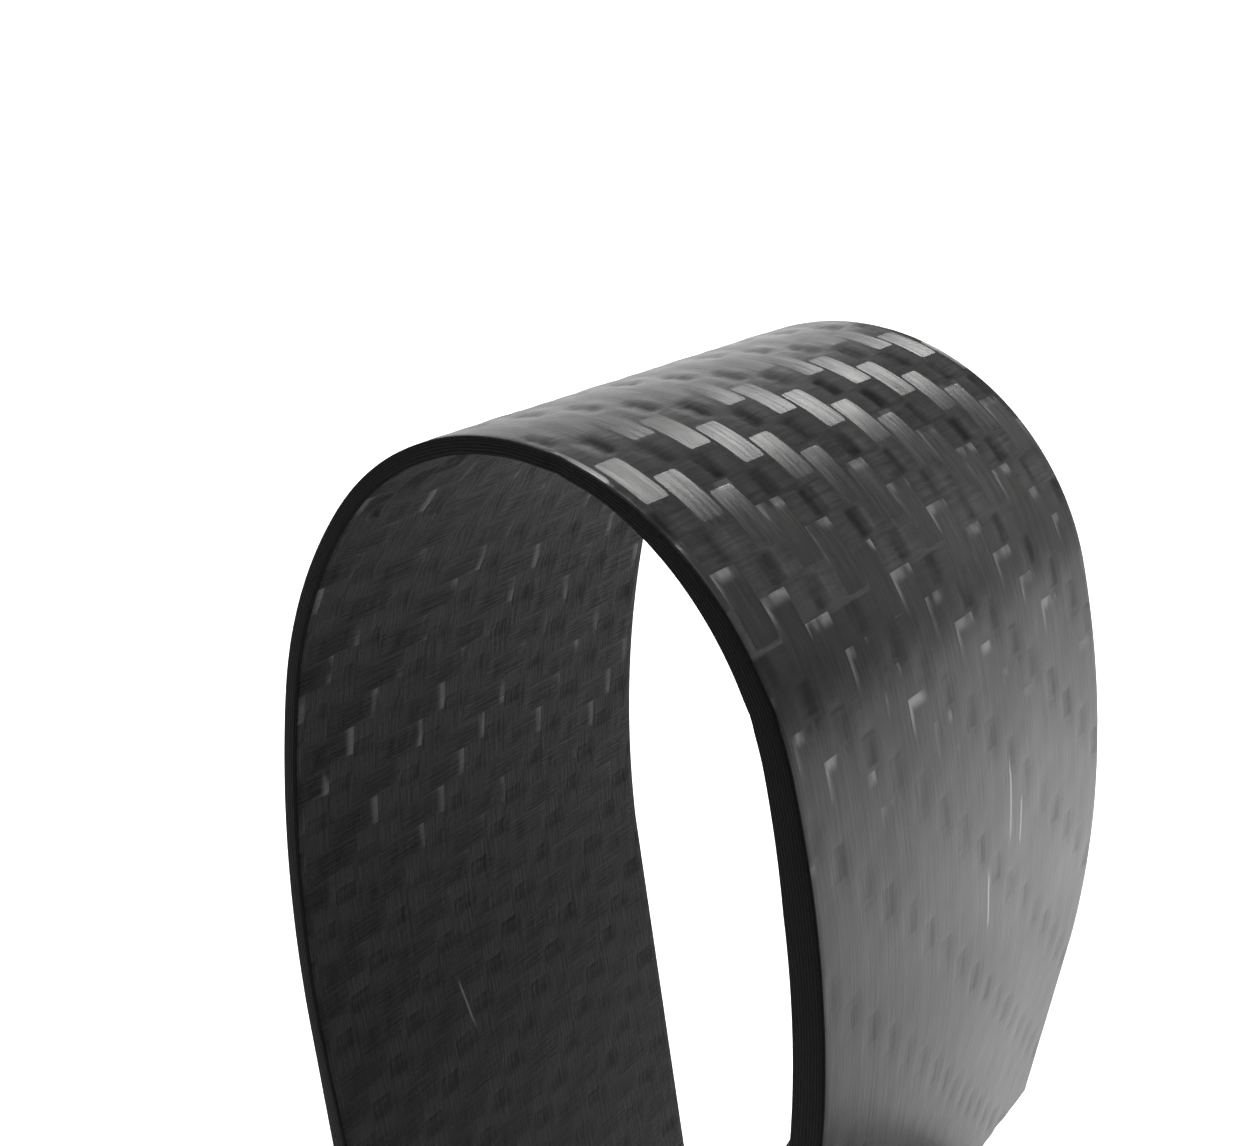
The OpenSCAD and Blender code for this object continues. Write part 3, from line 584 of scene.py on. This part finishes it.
blade_low, blade_high = box_mm("blade")
LOOP_TOP = blade_high[2]
HALF_LENGTH = -blade_low[0]
HALF_WIDTH = blade_high[1]
LOOP_X = -102.0
LIMB_LEAN = 7.6
KEEL_SLOPE = 8.4
FREE_END_T, APEX_T, REAR_T, KEEL_T, TOE_T = 3.7, 1.9, 2.2, 6.0, 3.0
HEEL_R, HEEL_TOP_Z = 76.0, 88.0
TOE_R, TOE_RISE = 120.0, 17.0
TREAD_T, TREAD_FLAT = 4.0, 0.4
SOLE_Z = TREAD_T - TREAD_FLAT

# The loop's arcs from its top, backwards and forwards, fitted to the photograph
rear_bends = [bend(33.8, 51.2), bend(57.7, 28.4), bend(161.4, 18)]
front_bends = [bend(33.6, -41), bend(37.3, -33), bend(138.2, -23.6), (26.0, 0)]
front = Line(LOOP_X, LOOP_TOP, 0, front_bends)
rear_end = Line(LOOP_X, LOOP_TOP, 180, rear_bends).stations[-1]

# The rear limb goes on as a straight, the heel's arc, the sloping keel, the toe's arc and its tip
rear_straight = (rear_end[2] - HEEL_TOP_Z) / math.cos(math.radians(LIMB_LEAN))
heel = [(rear_straight, 0), bend(HEEL_R, 90 - LIMB_LEAN - KEEL_SLOPE)]
keel_start = Line(LOOP_X, LOOP_TOP, 180, rear_bends + heel).stations[-1]
slope = math.radians(KEEL_SLOPE)
keel_run = (keel_start[2] - SOLE_Z - TOE_R * (1 - math.cos(slope))) / math.sin(slope)
toe = [(keel_run, 0), bend(TOE_R, KEEL_SLOPE + TOE_RISE)]
toe_end = Line(LOOP_X, LOOP_TOP, 180, rear_bends + heel + toe).stations[-1]
toe_tip = (HALF_LENGTH - toe_end[1]) / math.cos(math.radians(TOE_RISE))
rear = Line(LOOP_X, LOOP_TOP, 180, rear_bends + heel + toe + [(toe_tip, 0)])
HEEL_TOP_STATION, TOE_STATION = 4, 6
heel_top_s = rear.stations[HEEL_TOP_STATION][0]
toe_start_s = rear.stations[TOE_STATION][0]


def blade_station(s):
    """(x, z, heading) of the blade's outer face. The free end is at negative distances."""
    if s < 0:
        x, z, heading = front.at(-s)
        return x, z, heading + 180
    return rear.at(s)


def blade_thickness(s):
    """The laminate's thickness, thinnest at the apex and thickest in the keel."""
    stops = [-60, -12, 0, 40, rear_end[0], heel_top_s + 30, toe_start_s, rear.length]
    values = [FREE_END_T, APEX_T, APEX_T, REAR_T, REAR_T, KEEL_T, KEEL_T, TOE_T]
    return np.interp(s, stops, values)


# ---------------------------------------------------------------- carbon pieces

CORNER = 0.35  # size of the rounded edges
# The two points round a corner, in from the edge and down from the face
CORNER_INSET = np.array([0.3, 0.0]) * CORNER
CORNER_DROP = np.array([0.3, 1.0]) * CORNER
NICK_L = 1.1  # half the length of a nick
# How plainly the twill shows on each face: distances along the blade, and values
OUTER_CLEAR = ([-46, -22, 20, 70], [0.2, 1, 1, 0.5])
INNER_CLEAR = ([0, 60, 130, 200], [1, 1, 0.5, 0.7])


def band_attributes(obj, s, ys, inside, depth, along, clear):
    """Stores what the carbon and edge materials read."""
    grid = [np.broadcast_to(a, depth.shape) for a in (s, ys[None, :], inside[None, :])]
    store(obj, "band", "FLOAT_VECTOR", np.stack(grid, 2))
    store(obj, "depth", "FLOAT", depth)
    store(obj, "along", "FLOAT_VECTOR", np.repeat(along, len(ys), 0))
    store(obj, "clear", "FLOAT", clear)


def band(name, stations, s, thickness, half_width, columns, relief, materials, dents=()):
    """A laminate band: woven faces, rounded corners and a plain cut edge all round.

    Each ring of points runs over the outer face, down one edge, over the inner face and up the other.
    dents are the (place along, depth) of small nicks in the right-hand cut edge.
    """
    x, z, heading = np.array(stations).T
    angle = np.radians(heading)
    out = np.stack([np.sin(angle), -np.cos(angle)], 1)
    face_y = np.linspace(CORNER - half_width, half_width - CORNER, columns + 1)
    corner_y = half_width - CORNER_INSET
    half_ring = np.concatenate([face_y, corner_y, [half_width], corner_y[::-1]])
    ys = np.concatenate([half_ring, -half_ring])
    t = np.asarray(thickness)[:, None]
    rows = np.asarray(s)[:, None]
    fade = np.clip((half_width - np.abs(face_y)) / 2.0, 0, 1)[None, :]
    outer_clear = np.interp(rows, *OUTER_CLEAR)
    inner_clear = np.interp(rows, *INNER_CLEAR)
    outer = -relief * weave_height(rows, face_y[None, :], 0) * fade * (0.4 + 0.6 * outer_clear)
    inner = t + relief * weave_height(rows, -face_y[None, :], 1) * fade
    drop = np.tile(CORNER_DROP, (len(t), 1))
    down = [drop, t / 2, t - drop[:, ::-1]]
    up = [t - drop, t / 2, drop[:, ::-1]]
    depth = np.concatenate([outer] + down + [inner] + up, 1)
    wide = np.broadcast_to(ys, depth.shape).copy()
    for place, deep in dents:
        nick = deep * np.exp(-((np.asarray(s) - place) / NICK_L) ** 2)
        wide += nick[:, None] * (ys < 1.2 * CORNER - half_width)
    points = np.stack([
        x[:, None] - out[:, :1] * depth,
        wide,
        z[:, None] - out[:, 1:] * depth,
    ], 2).reshape(-1, 3)

    # The materials are the outer face, the cut edge and the inner face, whose much darker colours are
    # painted shade
    around, half = len(ys), len(half_ring)
    woven = np.ones(around, int)
    woven[:columns] = 0
    woven[half:half + columns] = 2
    end_caps = [1, 1]
    face_material = list(np.tile(woven, len(x) - 1)) + end_caps
    obj = new_object(name, points, ring_faces(len(x), around), materials, face_material)
    inside = np.zeros(around)
    inside[half:half + columns + 1] = 1
    along = np.stack([np.cos(angle), 0 * angle, np.sin(angle)], 1)
    clear = np.where(inside[None, :] > 0, inner_clear, outer_clear)
    band_attributes(obj, rows, ys, inside, depth, along, clear)
    return obj


NICKS = [(-39.1, 0.16), (-5.8, 0.25), (150.0, 0.3)]  # (place along, depth)
FINE_BELOW_LOOP = 40  # how far down the rear limb the fine mesh goes
WEAVE_RELIEF = 0.1


def make_blade():
    fine, coarse = TOW / 5, TOW / 3
    fine_end = rear_end[0] + FINE_BELOW_LOOP
    s = np.concatenate([
        np.linspace(-front.length, fine_end, int((front.length + fine_end) / fine)),
        np.linspace(fine_end, rear.length, int((rear.length - fine_end) / coarse))[1:],
    ])
    columns = round(2 * HALF_WIDTH / fine)
    materials = [MATERIALS["carbon"], MATERIALS["ply_edge"], MATERIALS["carbon_inner_painted_shade"]]
    stations = [blade_station(v) for v in s]
    blade = band("blade_laminate", stations, s, blade_thickness(s), HALF_WIDTH, columns, WEAVE_RELIEF,
                 materials, NICKS)
    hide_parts("blade")
    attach(blade, "foot")


# Ribs run across a tread, with two grooves along it and a plain margin all round
RIB, GROOVE, GROOVE_DEPTH, RIB_LEAN = 5.2, 1.3, 1.3, 0.35
LONG_GROOVE_HALF, TREAD_MARGIN = 0.9, 2.5


def offset_points(x, z, right, y, offset):
    """Points at y across the line and at an offset to its right."""
    return np.stack([
        x[:, None] + right[:, :1] * offset,
        np.broadcast_to(y, offset.shape),
        z[:, None] + right[:, 1:] * offset,
    ], 2)


def make_tread(name, node, stations, s, half_width, inner, outer):
    """A ribbed tread on a carbon piece. inner and outer are offsets to the line's right."""
    x, z, heading = np.array(stations).T
    angle = np.radians(heading)
    right = np.stack([np.sin(angle), -np.cos(angle)], 1)
    y = np.linspace(-half_width, half_width, 129)
    cross = np.mod(np.asarray(s)[:, None] + RIB_LEAN * np.abs(y)[None, :], RIB) < GROOVE
    lengthwise = np.abs(np.abs(y) - half_width * 0.5) < LONG_GROOVE_HALF
    inside = (np.abs(y) < half_width - TREAD_MARGIN)[None, :]
    ends = np.minimum(s - s[0], s[-1] - s)[:, None] > TREAD_MARGIN
    cutting = ((cross | lengthwise[None, :]) & inside & ends) * GROOVE_DEPTH
    tip = outer - math.copysign(1, outer - inner) * cutting
    top = offset_points(x, z, right, y, tip)
    top[:, :, 2] = np.maximum(0.0, top[:, :, 2])
    under = offset_points(x, z, right, y, np.full_like(tip, inner))
    ring = np.concatenate([top, under[:, ::-1]], 1)
    faces = ring_faces(len(x), ring.shape[1])
    obj = new_object(name, ring.reshape(-1, 3), faces, [MATERIALS["rubber"]])
    obj.data.set_sharp_from_angle(angle=math.radians(35))
    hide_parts(node)
    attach(obj, "foot")


# The heel leaf's upper face, from its front end back to the heel
LEAF_FRONT_X, LEAF_CLAMPED, LEAF_T = 32.0, 50.0, 4.0
LEAF_BEND_R, LEAF_BEND = 150.0, 20.0
HEEL_CURL_R, HEEL_CURL = 70.0, 12.0


def leaf_line():
    """The leaf's upper face: clamped under the keel, then bent down, straight and curled up."""
    reach = (LEAF_FRONT_X - keel_start[1]) / math.cos(slope)
    x, z, _ = Line.step(keel_start[1], keel_start[2], -KEEL_SLOPE, reach, 0)
    clamped = [(LEAF_CLAMPED, 0), bend(LEAF_BEND_R, LEAF_BEND)]
    bent = Line(x, z, 180 - KEEL_SLOPE, clamped).stations[-1]
    fall = LEAF_BEND - KEEL_SLOPE
    drop = bent[2] - SOLE_Z - LEAF_T - HEEL_CURL_R * (1 - math.cos(math.radians(fall)))
    curl = [(drop / math.sin(math.radians(fall)), 0), bend(HEEL_CURL_R, -fall - HEEL_CURL)]
    return Line(x, z, 180 - KEEL_SLOPE, clamped + curl)


WEDGE_START, WEDGE_END = LEAF_CLAMPED + 13.6, LEAF_CLAMPED + 45.4
WEDGE_GAP = 0.15  # room to the keel and the leaf
WEDGE_WAIST = 1.1  # how far the sides pull in
WEDGE_INSET = 0.4  # how far the sides lie inside the CAD wedge's


def make_wedge():
    """The foam wedge between the keel and the heel leaf, with sides that pull in."""
    leaf = leaf_line()
    _, high = box_mm("heel_wedge")
    half_width = high[1] - WEDGE_INSET
    s = np.linspace(WEDGE_START, WEDGE_END, 40)
    x, z, heading = np.array([leaf.at(v) for v in s]).T
    angle = np.radians(heading)
    normal_x, normal_z = np.sin(angle), -np.cos(angle)
    ceiling = keel_start[2] - math.tan(slope) * (x - keel_start[1])
    reach = (ceiling - z) / (normal_z - math.tan(-slope) * normal_x)
    up = np.linspace(0, 1, 13)
    y = np.linspace(-1, 1, 41)
    rounding = 0.6 * np.sqrt(np.clip(1 - np.linspace(-1, 1, len(s)) ** 24, 0, 1)) + 0.4
    tall = (reach - 2 * WEDGE_GAP) * (0.9 + 0.1 * rounding)

    def point(i, share, across):
        waist = WEDGE_WAIST * 4 * share * (1 - share)
        d = WEDGE_GAP + share * tall[i]
        aside = across * (half_width - waist * abs(across) ** 6)
        return x[i] + normal_x[i] * d, aside, z[i] + normal_z[i] * d

    rings = []
    for i in range(len(s)):
        bottom = [point(i, 0.0, v) for v in y]
        side = [point(i, v, 1.0) for v in up[1:-1]]
        top = [point(i, 1.0, v) for v in y[::-1]]
        other = [point(i, v, -1.0) for v in up[-2:0:-1]]
        rings.append(bottom + side + top + other)
    points = np.array(rings)
    faces = ring_faces(len(rings), points.shape[1])
    obj = new_object("wedge_foam", points.reshape(-1, 3), faces, [MATERIALS["foam"]])
    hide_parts("heel_wedge")
    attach(obj, "foot")


TREAD_STEP = 0.5
TREAD_GAP = 0.02
TOE_TREAD_LEAD, TOE_TREAD_SHORT = 14, 3  # before the toe's arc, and short of its tip
HEEL_TREAD_START, HEEL_TREAD_SHORT = 46, 2  # both before the leaf's end


def make_treads():
    s = np.arange(toe_start_s - TOE_TREAD_LEAD, rear.length - TOE_TREAD_SHORT, TREAD_STEP)
    half = box_mm("toe_tread")[1][1]
    make_tread("toe_tread_rubber", "toe_tread", [rear.at(v) for v in s], s, half, TREAD_GAP, TREAD_T)
    leaf = leaf_line()
    s = np.arange(leaf.length - HEEL_TREAD_START, leaf.length - HEEL_TREAD_SHORT, TREAD_STEP)
    half = box_mm("heel_tread")[1][1]
    make_tread("heel_tread_rubber", "heel_tread", [leaf.at(v) for v in s], s, half,
               -LEAF_T - TREAD_GAP, -LEAF_T - TREAD_T)


# ---------------------------------------------------------------- springs

CLOSED_TURNS = 0.8  # at each end
END_LIFT = 0.42  # height of the wire's middle at an end, against its thickness
CREEP = 0.35  # rise along a closed end, against the wire's thickness
SEAT_GAP = 0.05


def coil_rise(a, wire, length):
    """Height of the wire's middle at each angle of turn."""
    closed = 2 * math.pi * CLOSED_TURNS
    open_part = np.clip((a - closed) / (a[-1] - 2 * closed), 0, 1)
    first = np.clip(a / closed, 0, 1) - 1
    last = np.clip((a - a[-1] + closed) / closed, 0, 1)
    rise = wire * END_LIFT + (length - wire * 2 * END_LIFT) * open_part
    return rise + wire * CREEP * first + wire * CREEP * last


def coil(name, node, body, radius, wire, start, length, turns, axis):
    """A wire spring with closed, ground ends, wound along axis from the point start."""
    per_turn, sides = 36, 12
    a = np.linspace(0, 2 * math.pi * turns, int(per_turn * turns) + 1)
    rise = coil_rise(a, wire, length)
    b = np.linspace(0, 2 * math.pi, sides, endpoint=False)
    r = radius + wire / 2 * np.cos(b)[None, :]
    lift = np.clip(rise[:, None] + wire / 2 * np.sin(b)[None, :], SEAT_GAP, length - SEAT_GAP)
    u, v = r * np.cos(a)[:, None], r * np.sin(a)[:, None]
    if axis == "Z":
        local = np.stack([u, v, lift], 2)
    else:
        local = np.stack([u, lift, -v], 2)
    points = local.reshape(-1, 3) + np.array(start)
    obj = new_object(name, points, ring_faces(len(a), sides), [MATERIALS["spring_steel"]])
    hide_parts(node)
    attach(obj, body)
    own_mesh(obj)


def make_springs():
    low, high = box_mm("shock_spring")
    wire = 3.2
    length = high[2] - low[2]
    coil("shock_coil", "shock_spring", "foot", high[1] - wire / 2, wire,
         (0, 0, low[2]), length, 6, "Z")
    low, high = box_mm("lock_spring")
    wire = 1.1
    length = high[1] - low[1]
    middle_x, middle_z = (low[0] + high[0]) / 2, (low[2] + high[2]) / 2
    coil("button_coil", "lock_spring", "upper", (high[0] - low[0] - wire) / 2, wire,
         (middle_x, low[1], middle_z), length, 6, "Y")


# ---------------------------------------------------------------- socket and liner

BRIM_Z, BRIM_R = 520.0, 59.0
FLOOR_R, SHELL_T, LINER_GAP, LINER_T, LINER_RISE = 36.0, 4.0, 0.4, 5.0, 9.0
CHAMFER = 3.0
CREST, TENDON, CALF, FLAT, FLARE = 3.5, 6, 4, 5, 5
SOCKET_HOLE_R, LINER_HOLE_R = 16.1, 19.0
RIM_LEAD = 2.5  # height of the liner's first ring above the shell's brim line
MEAN_R = 48  # for the number of tows round the socket
AROUND = 192


def bump(t, at, width):
    """A smooth bulge of height 1."""
    return np.exp(-((t - at) / width) ** 2)


def brim(a):
    """The rim's height at angle a: high at the sides, lower in front and lowest behind."""
    wing = np.sin(a) ** 2
    back = np.maximum(0, -np.cos(a)) ** 2
    return BRIM_Z - 26 * (1 - wing) - 18 * back


def shell_radius(a, t):
    """The socket's outer radius at angle a and height share t.

    It has a shin crest, a dent at the tendon, a calf, a flat back brim and a flared rim.
    """
    ahead = np.maximum(0, np.cos(a))
    behind = np.maximum(0, -np.cos(a))
    grow = FLOOR_R + (BRIM_R - FLOOR_R) * (0.55 * np.sqrt(t) + 0.45 * smooth(t))
    crest = CREST * ahead ** 6 * smooth(np.minimum(1, t * 1.6)) * (1 - smooth(np.clip(t * 2 - 1, 0, 1)))
    tendon = TENDON * ahead ** 6 * bump(t, 0.8, 0.09)
    calf = CALF * behind ** 2 * bump(t, 0.5, 0.25)
    flat = FLAT * behind ** 4 * bump(t, 0.95, 0.2)
    return grow + crest - tendon + calf - flat + FLARE * bump(t, 1, 0.06)


def skin_ring(t, inset, base_z, lift=0.0):
    """One ring of (x, y, z) points, lifted above its place at height share t."""
    a = np.linspace(0, 2 * math.pi, AROUND, endpoint=False)
    r = shell_radius(a, t) - inset
    return np.stack([r * np.cos(a), r * np.sin(a), base_z + t * (brim(a) - base_z) + lift], 1)


def floor_ring(radius, z):
    """A level ring of points."""
    a = np.linspace(0, 2 * math.pi, AROUND, endpoint=False)
    return np.stack([radius * np.cos(a), radius * np.sin(a), np.full(AROUND, z)], 1)


def rim_rings(inset, thickness, base_z, lift):
    """A half-round rim from the outside of a skin to its inside."""
    rings = []
    for angle in np.linspace(0, math.pi, 9):
        across = thickness / 2 * (1 - math.cos(angle))
        up = thickness / 2 * math.sin(angle)
        rings.append(skin_ring(1.0, inset + across, base_z, lift - thickness / 2 + up))
    return rings


def skin(name, rings, materials):
    """A closed skin from rings ordered up the outside and down the inside."""
    return new_object(name, np.concatenate(rings), ring_faces(len(rings), AROUND, loop=True), materials)


def weave_round(obj, rings):
    """Stores the weave's directions on a round skin: along is up the wall, across is round it."""
    a = np.linspace(0, 2 * math.pi, AROUND, endpoint=False)
    repeats = round(2 * math.pi * MEAN_R / (REPEAT * TOW))
    y = a / (2 * math.pi) * repeats * REPEAT * TOW
    centre = np.array([r.mean(0)[2] for r in rings])
    reach = np.array([np.hypot(r[:, 0], r[:, 1]).mean() for r in rings])
    s = np.concatenate([[0], np.cumsum(np.hypot(np.diff(centre), np.diff(reach)))])
    grid = [np.broadcast_to(v, (len(rings), AROUND)) for v in (s[:, None], y[None, :], np.zeros((1, 1)))]
    store(obj, "band", "FLOAT_VECTOR", np.stack(grid, 2))
    up = np.gradient(np.stack(rings), axis=0)
    up /= np.linalg.norm(up, axis=2, keepdims=True) + 1e-9
    store(obj, "along", "FLOAT_VECTOR", up)


def make_socket():
    low, _ = box_mm("socket_shell")
    floor_z = low[2]
    inner_z = floor_z + SHELL_T
    wall_z = inner_z + CHAMFER
    heights = np.linspace(0, 1, 110) ** 1.2
    body = [h for h in heights if h < 0.985]
    rings = [
        floor_ring(SOCKET_HOLE_R, floor_z),
        floor_ring(FLOOR_R - 6, floor_z),
        floor_ring(FLOOR_R - 4.4, floor_z + 0.2),
        skin_ring(0, 0.3, floor_z + CHAMFER - 0.6),
        skin_ring(0, 0, floor_z + CHAMFER),
    ]
    rings += [skin_ring(t, 0, wall_z) for t in body]
    rings += rim_rings(0, SHELL_T, wall_z, 0.0)
    rings += [skin_ring(t, SHELL_T, wall_z) for t in body[::-1]]
    rings += [floor_ring(FLOOR_R - SHELL_T - 5, inner_z), floor_ring(SOCKET_HOLE_R, inner_z)]
    shell = skin("socket_laminate", rings, [MATERIALS["carbon_socket"]])
    weave_round(shell, rings)
    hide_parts("socket_shell")
    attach(shell, "upper")


def make_liner():
    low, _ = box_mm("socket_shell")
    inner_z = low[2] + SHELL_T
    wall_z = inner_z + CHAMFER
    outer = SHELL_T + LINER_GAP
    inner = outer + LINER_T
    foot_z = inner_z + LINER_GAP
    heights = np.linspace(0, 1, 90) ** 1.2
    rings = [floor_ring(LINER_HOLE_R, foot_z), floor_ring(FLOOR_R - outer - 5.2, foot_z)]
    rings += [skin_ring(t, outer, wall_z) for t in heights]
    rings += [skin_ring(1.0, outer, wall_z, RIM_LEAD)]
    rings += rim_rings(outer, LINER_T, wall_z, LINER_RISE)
    rings += [skin_ring(1.0, inner, wall_z, RIM_LEAD)]
    rings += [skin_ring(t, inner, wall_z) for t in heights[::-1] if t > 0.035]
    rings += [
        floor_ring(FLOOR_R - inner - 2, foot_z + LINER_T + 1.2),
        floor_ring(LINER_HOLE_R + 1.5, foot_z + LINER_T),
        floor_ring(LINER_HOLE_R, foot_z + LINER_T - 1.5),
    ]
    liner = skin("liner_foam", rings, [MATERIALS["liner"]])
    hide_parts("inner_liner")
    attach(liner, "upper")


# ---------------------------------------------------------------- CAD nodes that stay

BEVELS = {
    "hanger_bracket": 1.2, "tube_clamp": 0.7, "pyramid_receiver": 0.7, "torsion_housing": 0.7,
    "lock_body": 1.0, "pin_guide": 0.5, "pyramid_lower": 0.4, "pyramid_upper": 0.4,
    "keel_plate": 0.5, "keel_nuts": 0.15, "keel_bolts": 0.2, "outer_sleeve": 0.4, "spring_seat": 0.5,
    "lock_button": 0.8, "torsion_spindle": 0.4, "clamp_bolt": 0.3, "bracket_screws": 0.3,
    "heel_leaf": 0.3, "inner_tube": 0.2,
}


def bevelled(obj, width):
    """Small rounded edges, with shading weighted to the flat faces."""
    weld = obj.modifiers.new("weld", "WELD")
    weld.merge_threshold = 1e-6
    bevel = obj.modifiers.new("edges", "BEVEL")
    bevel.width = width * MM
    bevel.segments = 2
    bevel.limit_method = "ANGLE"
    bevel.angle_limit = math.radians(38)
    bevel.use_clamp_overlap = True
    obj.modifiers.new("shading", "WEIGHTED_NORMAL")


def finish_nodes():
    slots = {p["node"]: p["material_slot"] for p in frame["record"]["subparts"]}
    for name, obj in frame["nodes"].items():
        slot = "leaf_carbon" if name == "heel_leaf" else slots[name]
        obj.data.materials.clear()
        obj.data.materials.append(MATERIALS[slot])
        if name in BEVELS:
            bevelled(obj, BEVELS[name])


# ---------------------------------------------------------------- stage

CAMERA_FROM_TOP = (94.9, -139.8, 41.7)
CAMERA_TURN, CAMERA_FALL = 37.7, 21.5
LENS = 43.28
DOME_RADIUS = 9000.0
FLOOR_HALF = 12000.0
FLOOR_Z = -0.05  # just below the treads


def make_backdrop():
    """A white studio dome that only the camera sees, so the lights alone shape the object."""
    g = Graph("dome_white")
    white = g.set(Base_Color=gray(0.0), Emission_Color=(1.0, 1.0, 1.0, 1.0), Emission_Strength=1.0)
    rings, around = 16, 48
    up = np.linspace(-0.05, 0.499 * math.pi, rings)
    turn = np.linspace(0, 2 * math.pi, around, endpoint=False)
    points = np.stack([
        DOME_RADIUS * np.cos(up)[:, None] * np.cos(turn),
        DOME_RADIUS * np.cos(up)[:, None] * np.sin(turn),
        DOME_RADIUS * np.sin(up)[:, None] * np.ones(around),
    ], 2).reshape(-1, 3)
    dome = new_object("dome", points, ring_faces(rings, around), [white])
    dome.visible_diffuse = False
    dome.visible_glossy = False
    dome.visible_transmission = False
    dome.visible_shadow = False


def make_stage():
    g = Graph("floor_white")
    floor_mat = g.set(
        Base_Color=gray(0.3),
        Roughness=0.9,
        Emission_Color=(1.0, 1.0, 1.0, 1.0),
        Emission_Strength=1.0,
    )
    around = [(-1, -1), (1, -1), (1, 1), (-1, 1)]
    corners = [(FLOOR_HALF * x, FLOOR_HALF * y, FLOOR_Z) for x, y in around]
    floor = new_object("floor", corners, [(0, 1, 2, 3)], [floor_mat], smooth=False)
    make_backdrop()
    world = bpy.data.worlds.new("studio")
    world.use_nodes = True
    background = world.node_tree.nodes["Background"]
    background.inputs["Color"].default_value = (1.0, 1.0, 1.0, 1.0)
    background.inputs["Strength"].default_value = 0.14
    bpy.context.scene.world = world
    bpy.context.scene.view_settings.view_transform = "Standard"


def area_light(name, place, target, size, power):
    """A square soft light that faces its target. Places and size are in millimetres."""
    data = bpy.data.lights.new(name, "AREA")
    data.shape = "SQUARE"
    data.size = size * MM
    data.energy = power
    light = bpy.data.objects.new(name, data)
    bpy.context.scene.collection.objects.link(light)
    light.location = np.array(place) * MM
    x, y, z = (np.array(place) - np.array(target)) * MM
    light.rotation_euler = (math.atan2(math.hypot(x, y), z), 0, math.atan2(x, -y))
    light.visible_camera = False


def make_lights():
    top = (LOOP_X, 0.0, LOOP_TOP)
    area_light("overhead", (-102, 0, 3000), top, 1500, 270)
    area_light("back_left", (-1100, 1200, 500), top, 700, 4)
    area_light("bounce", (75, 245, 15), (-66, 25, 138), 180, 0.09)
    area_light("side", (740, 590, 860), top, 900, 3.2)


def make_camera():
    data = bpy.data.cameras.new("camera")
    data.lens = LENS
    data.sensor_width = 36.0
    data.clip_start = 0.01
    data.clip_end = 200.0
    camera = bpy.data.objects.new("camera", data)
    bpy.context.scene.collection.objects.link(camera)
    top = np.array([LOOP_X, 0.0, LOOP_TOP])
    camera.location = (top + np.array(CAMERA_FROM_TOP)) * MM
    camera.rotation_euler = (math.radians(90 - CAMERA_FALL), 0, math.radians(CAMERA_TURN))
    bpy.context.scene.camera = camera


finish_nodes()
make_blade()
make_wedge()
make_treads()
make_springs()
make_socket()
make_liner()
make_stage()
make_lights()
make_camera()
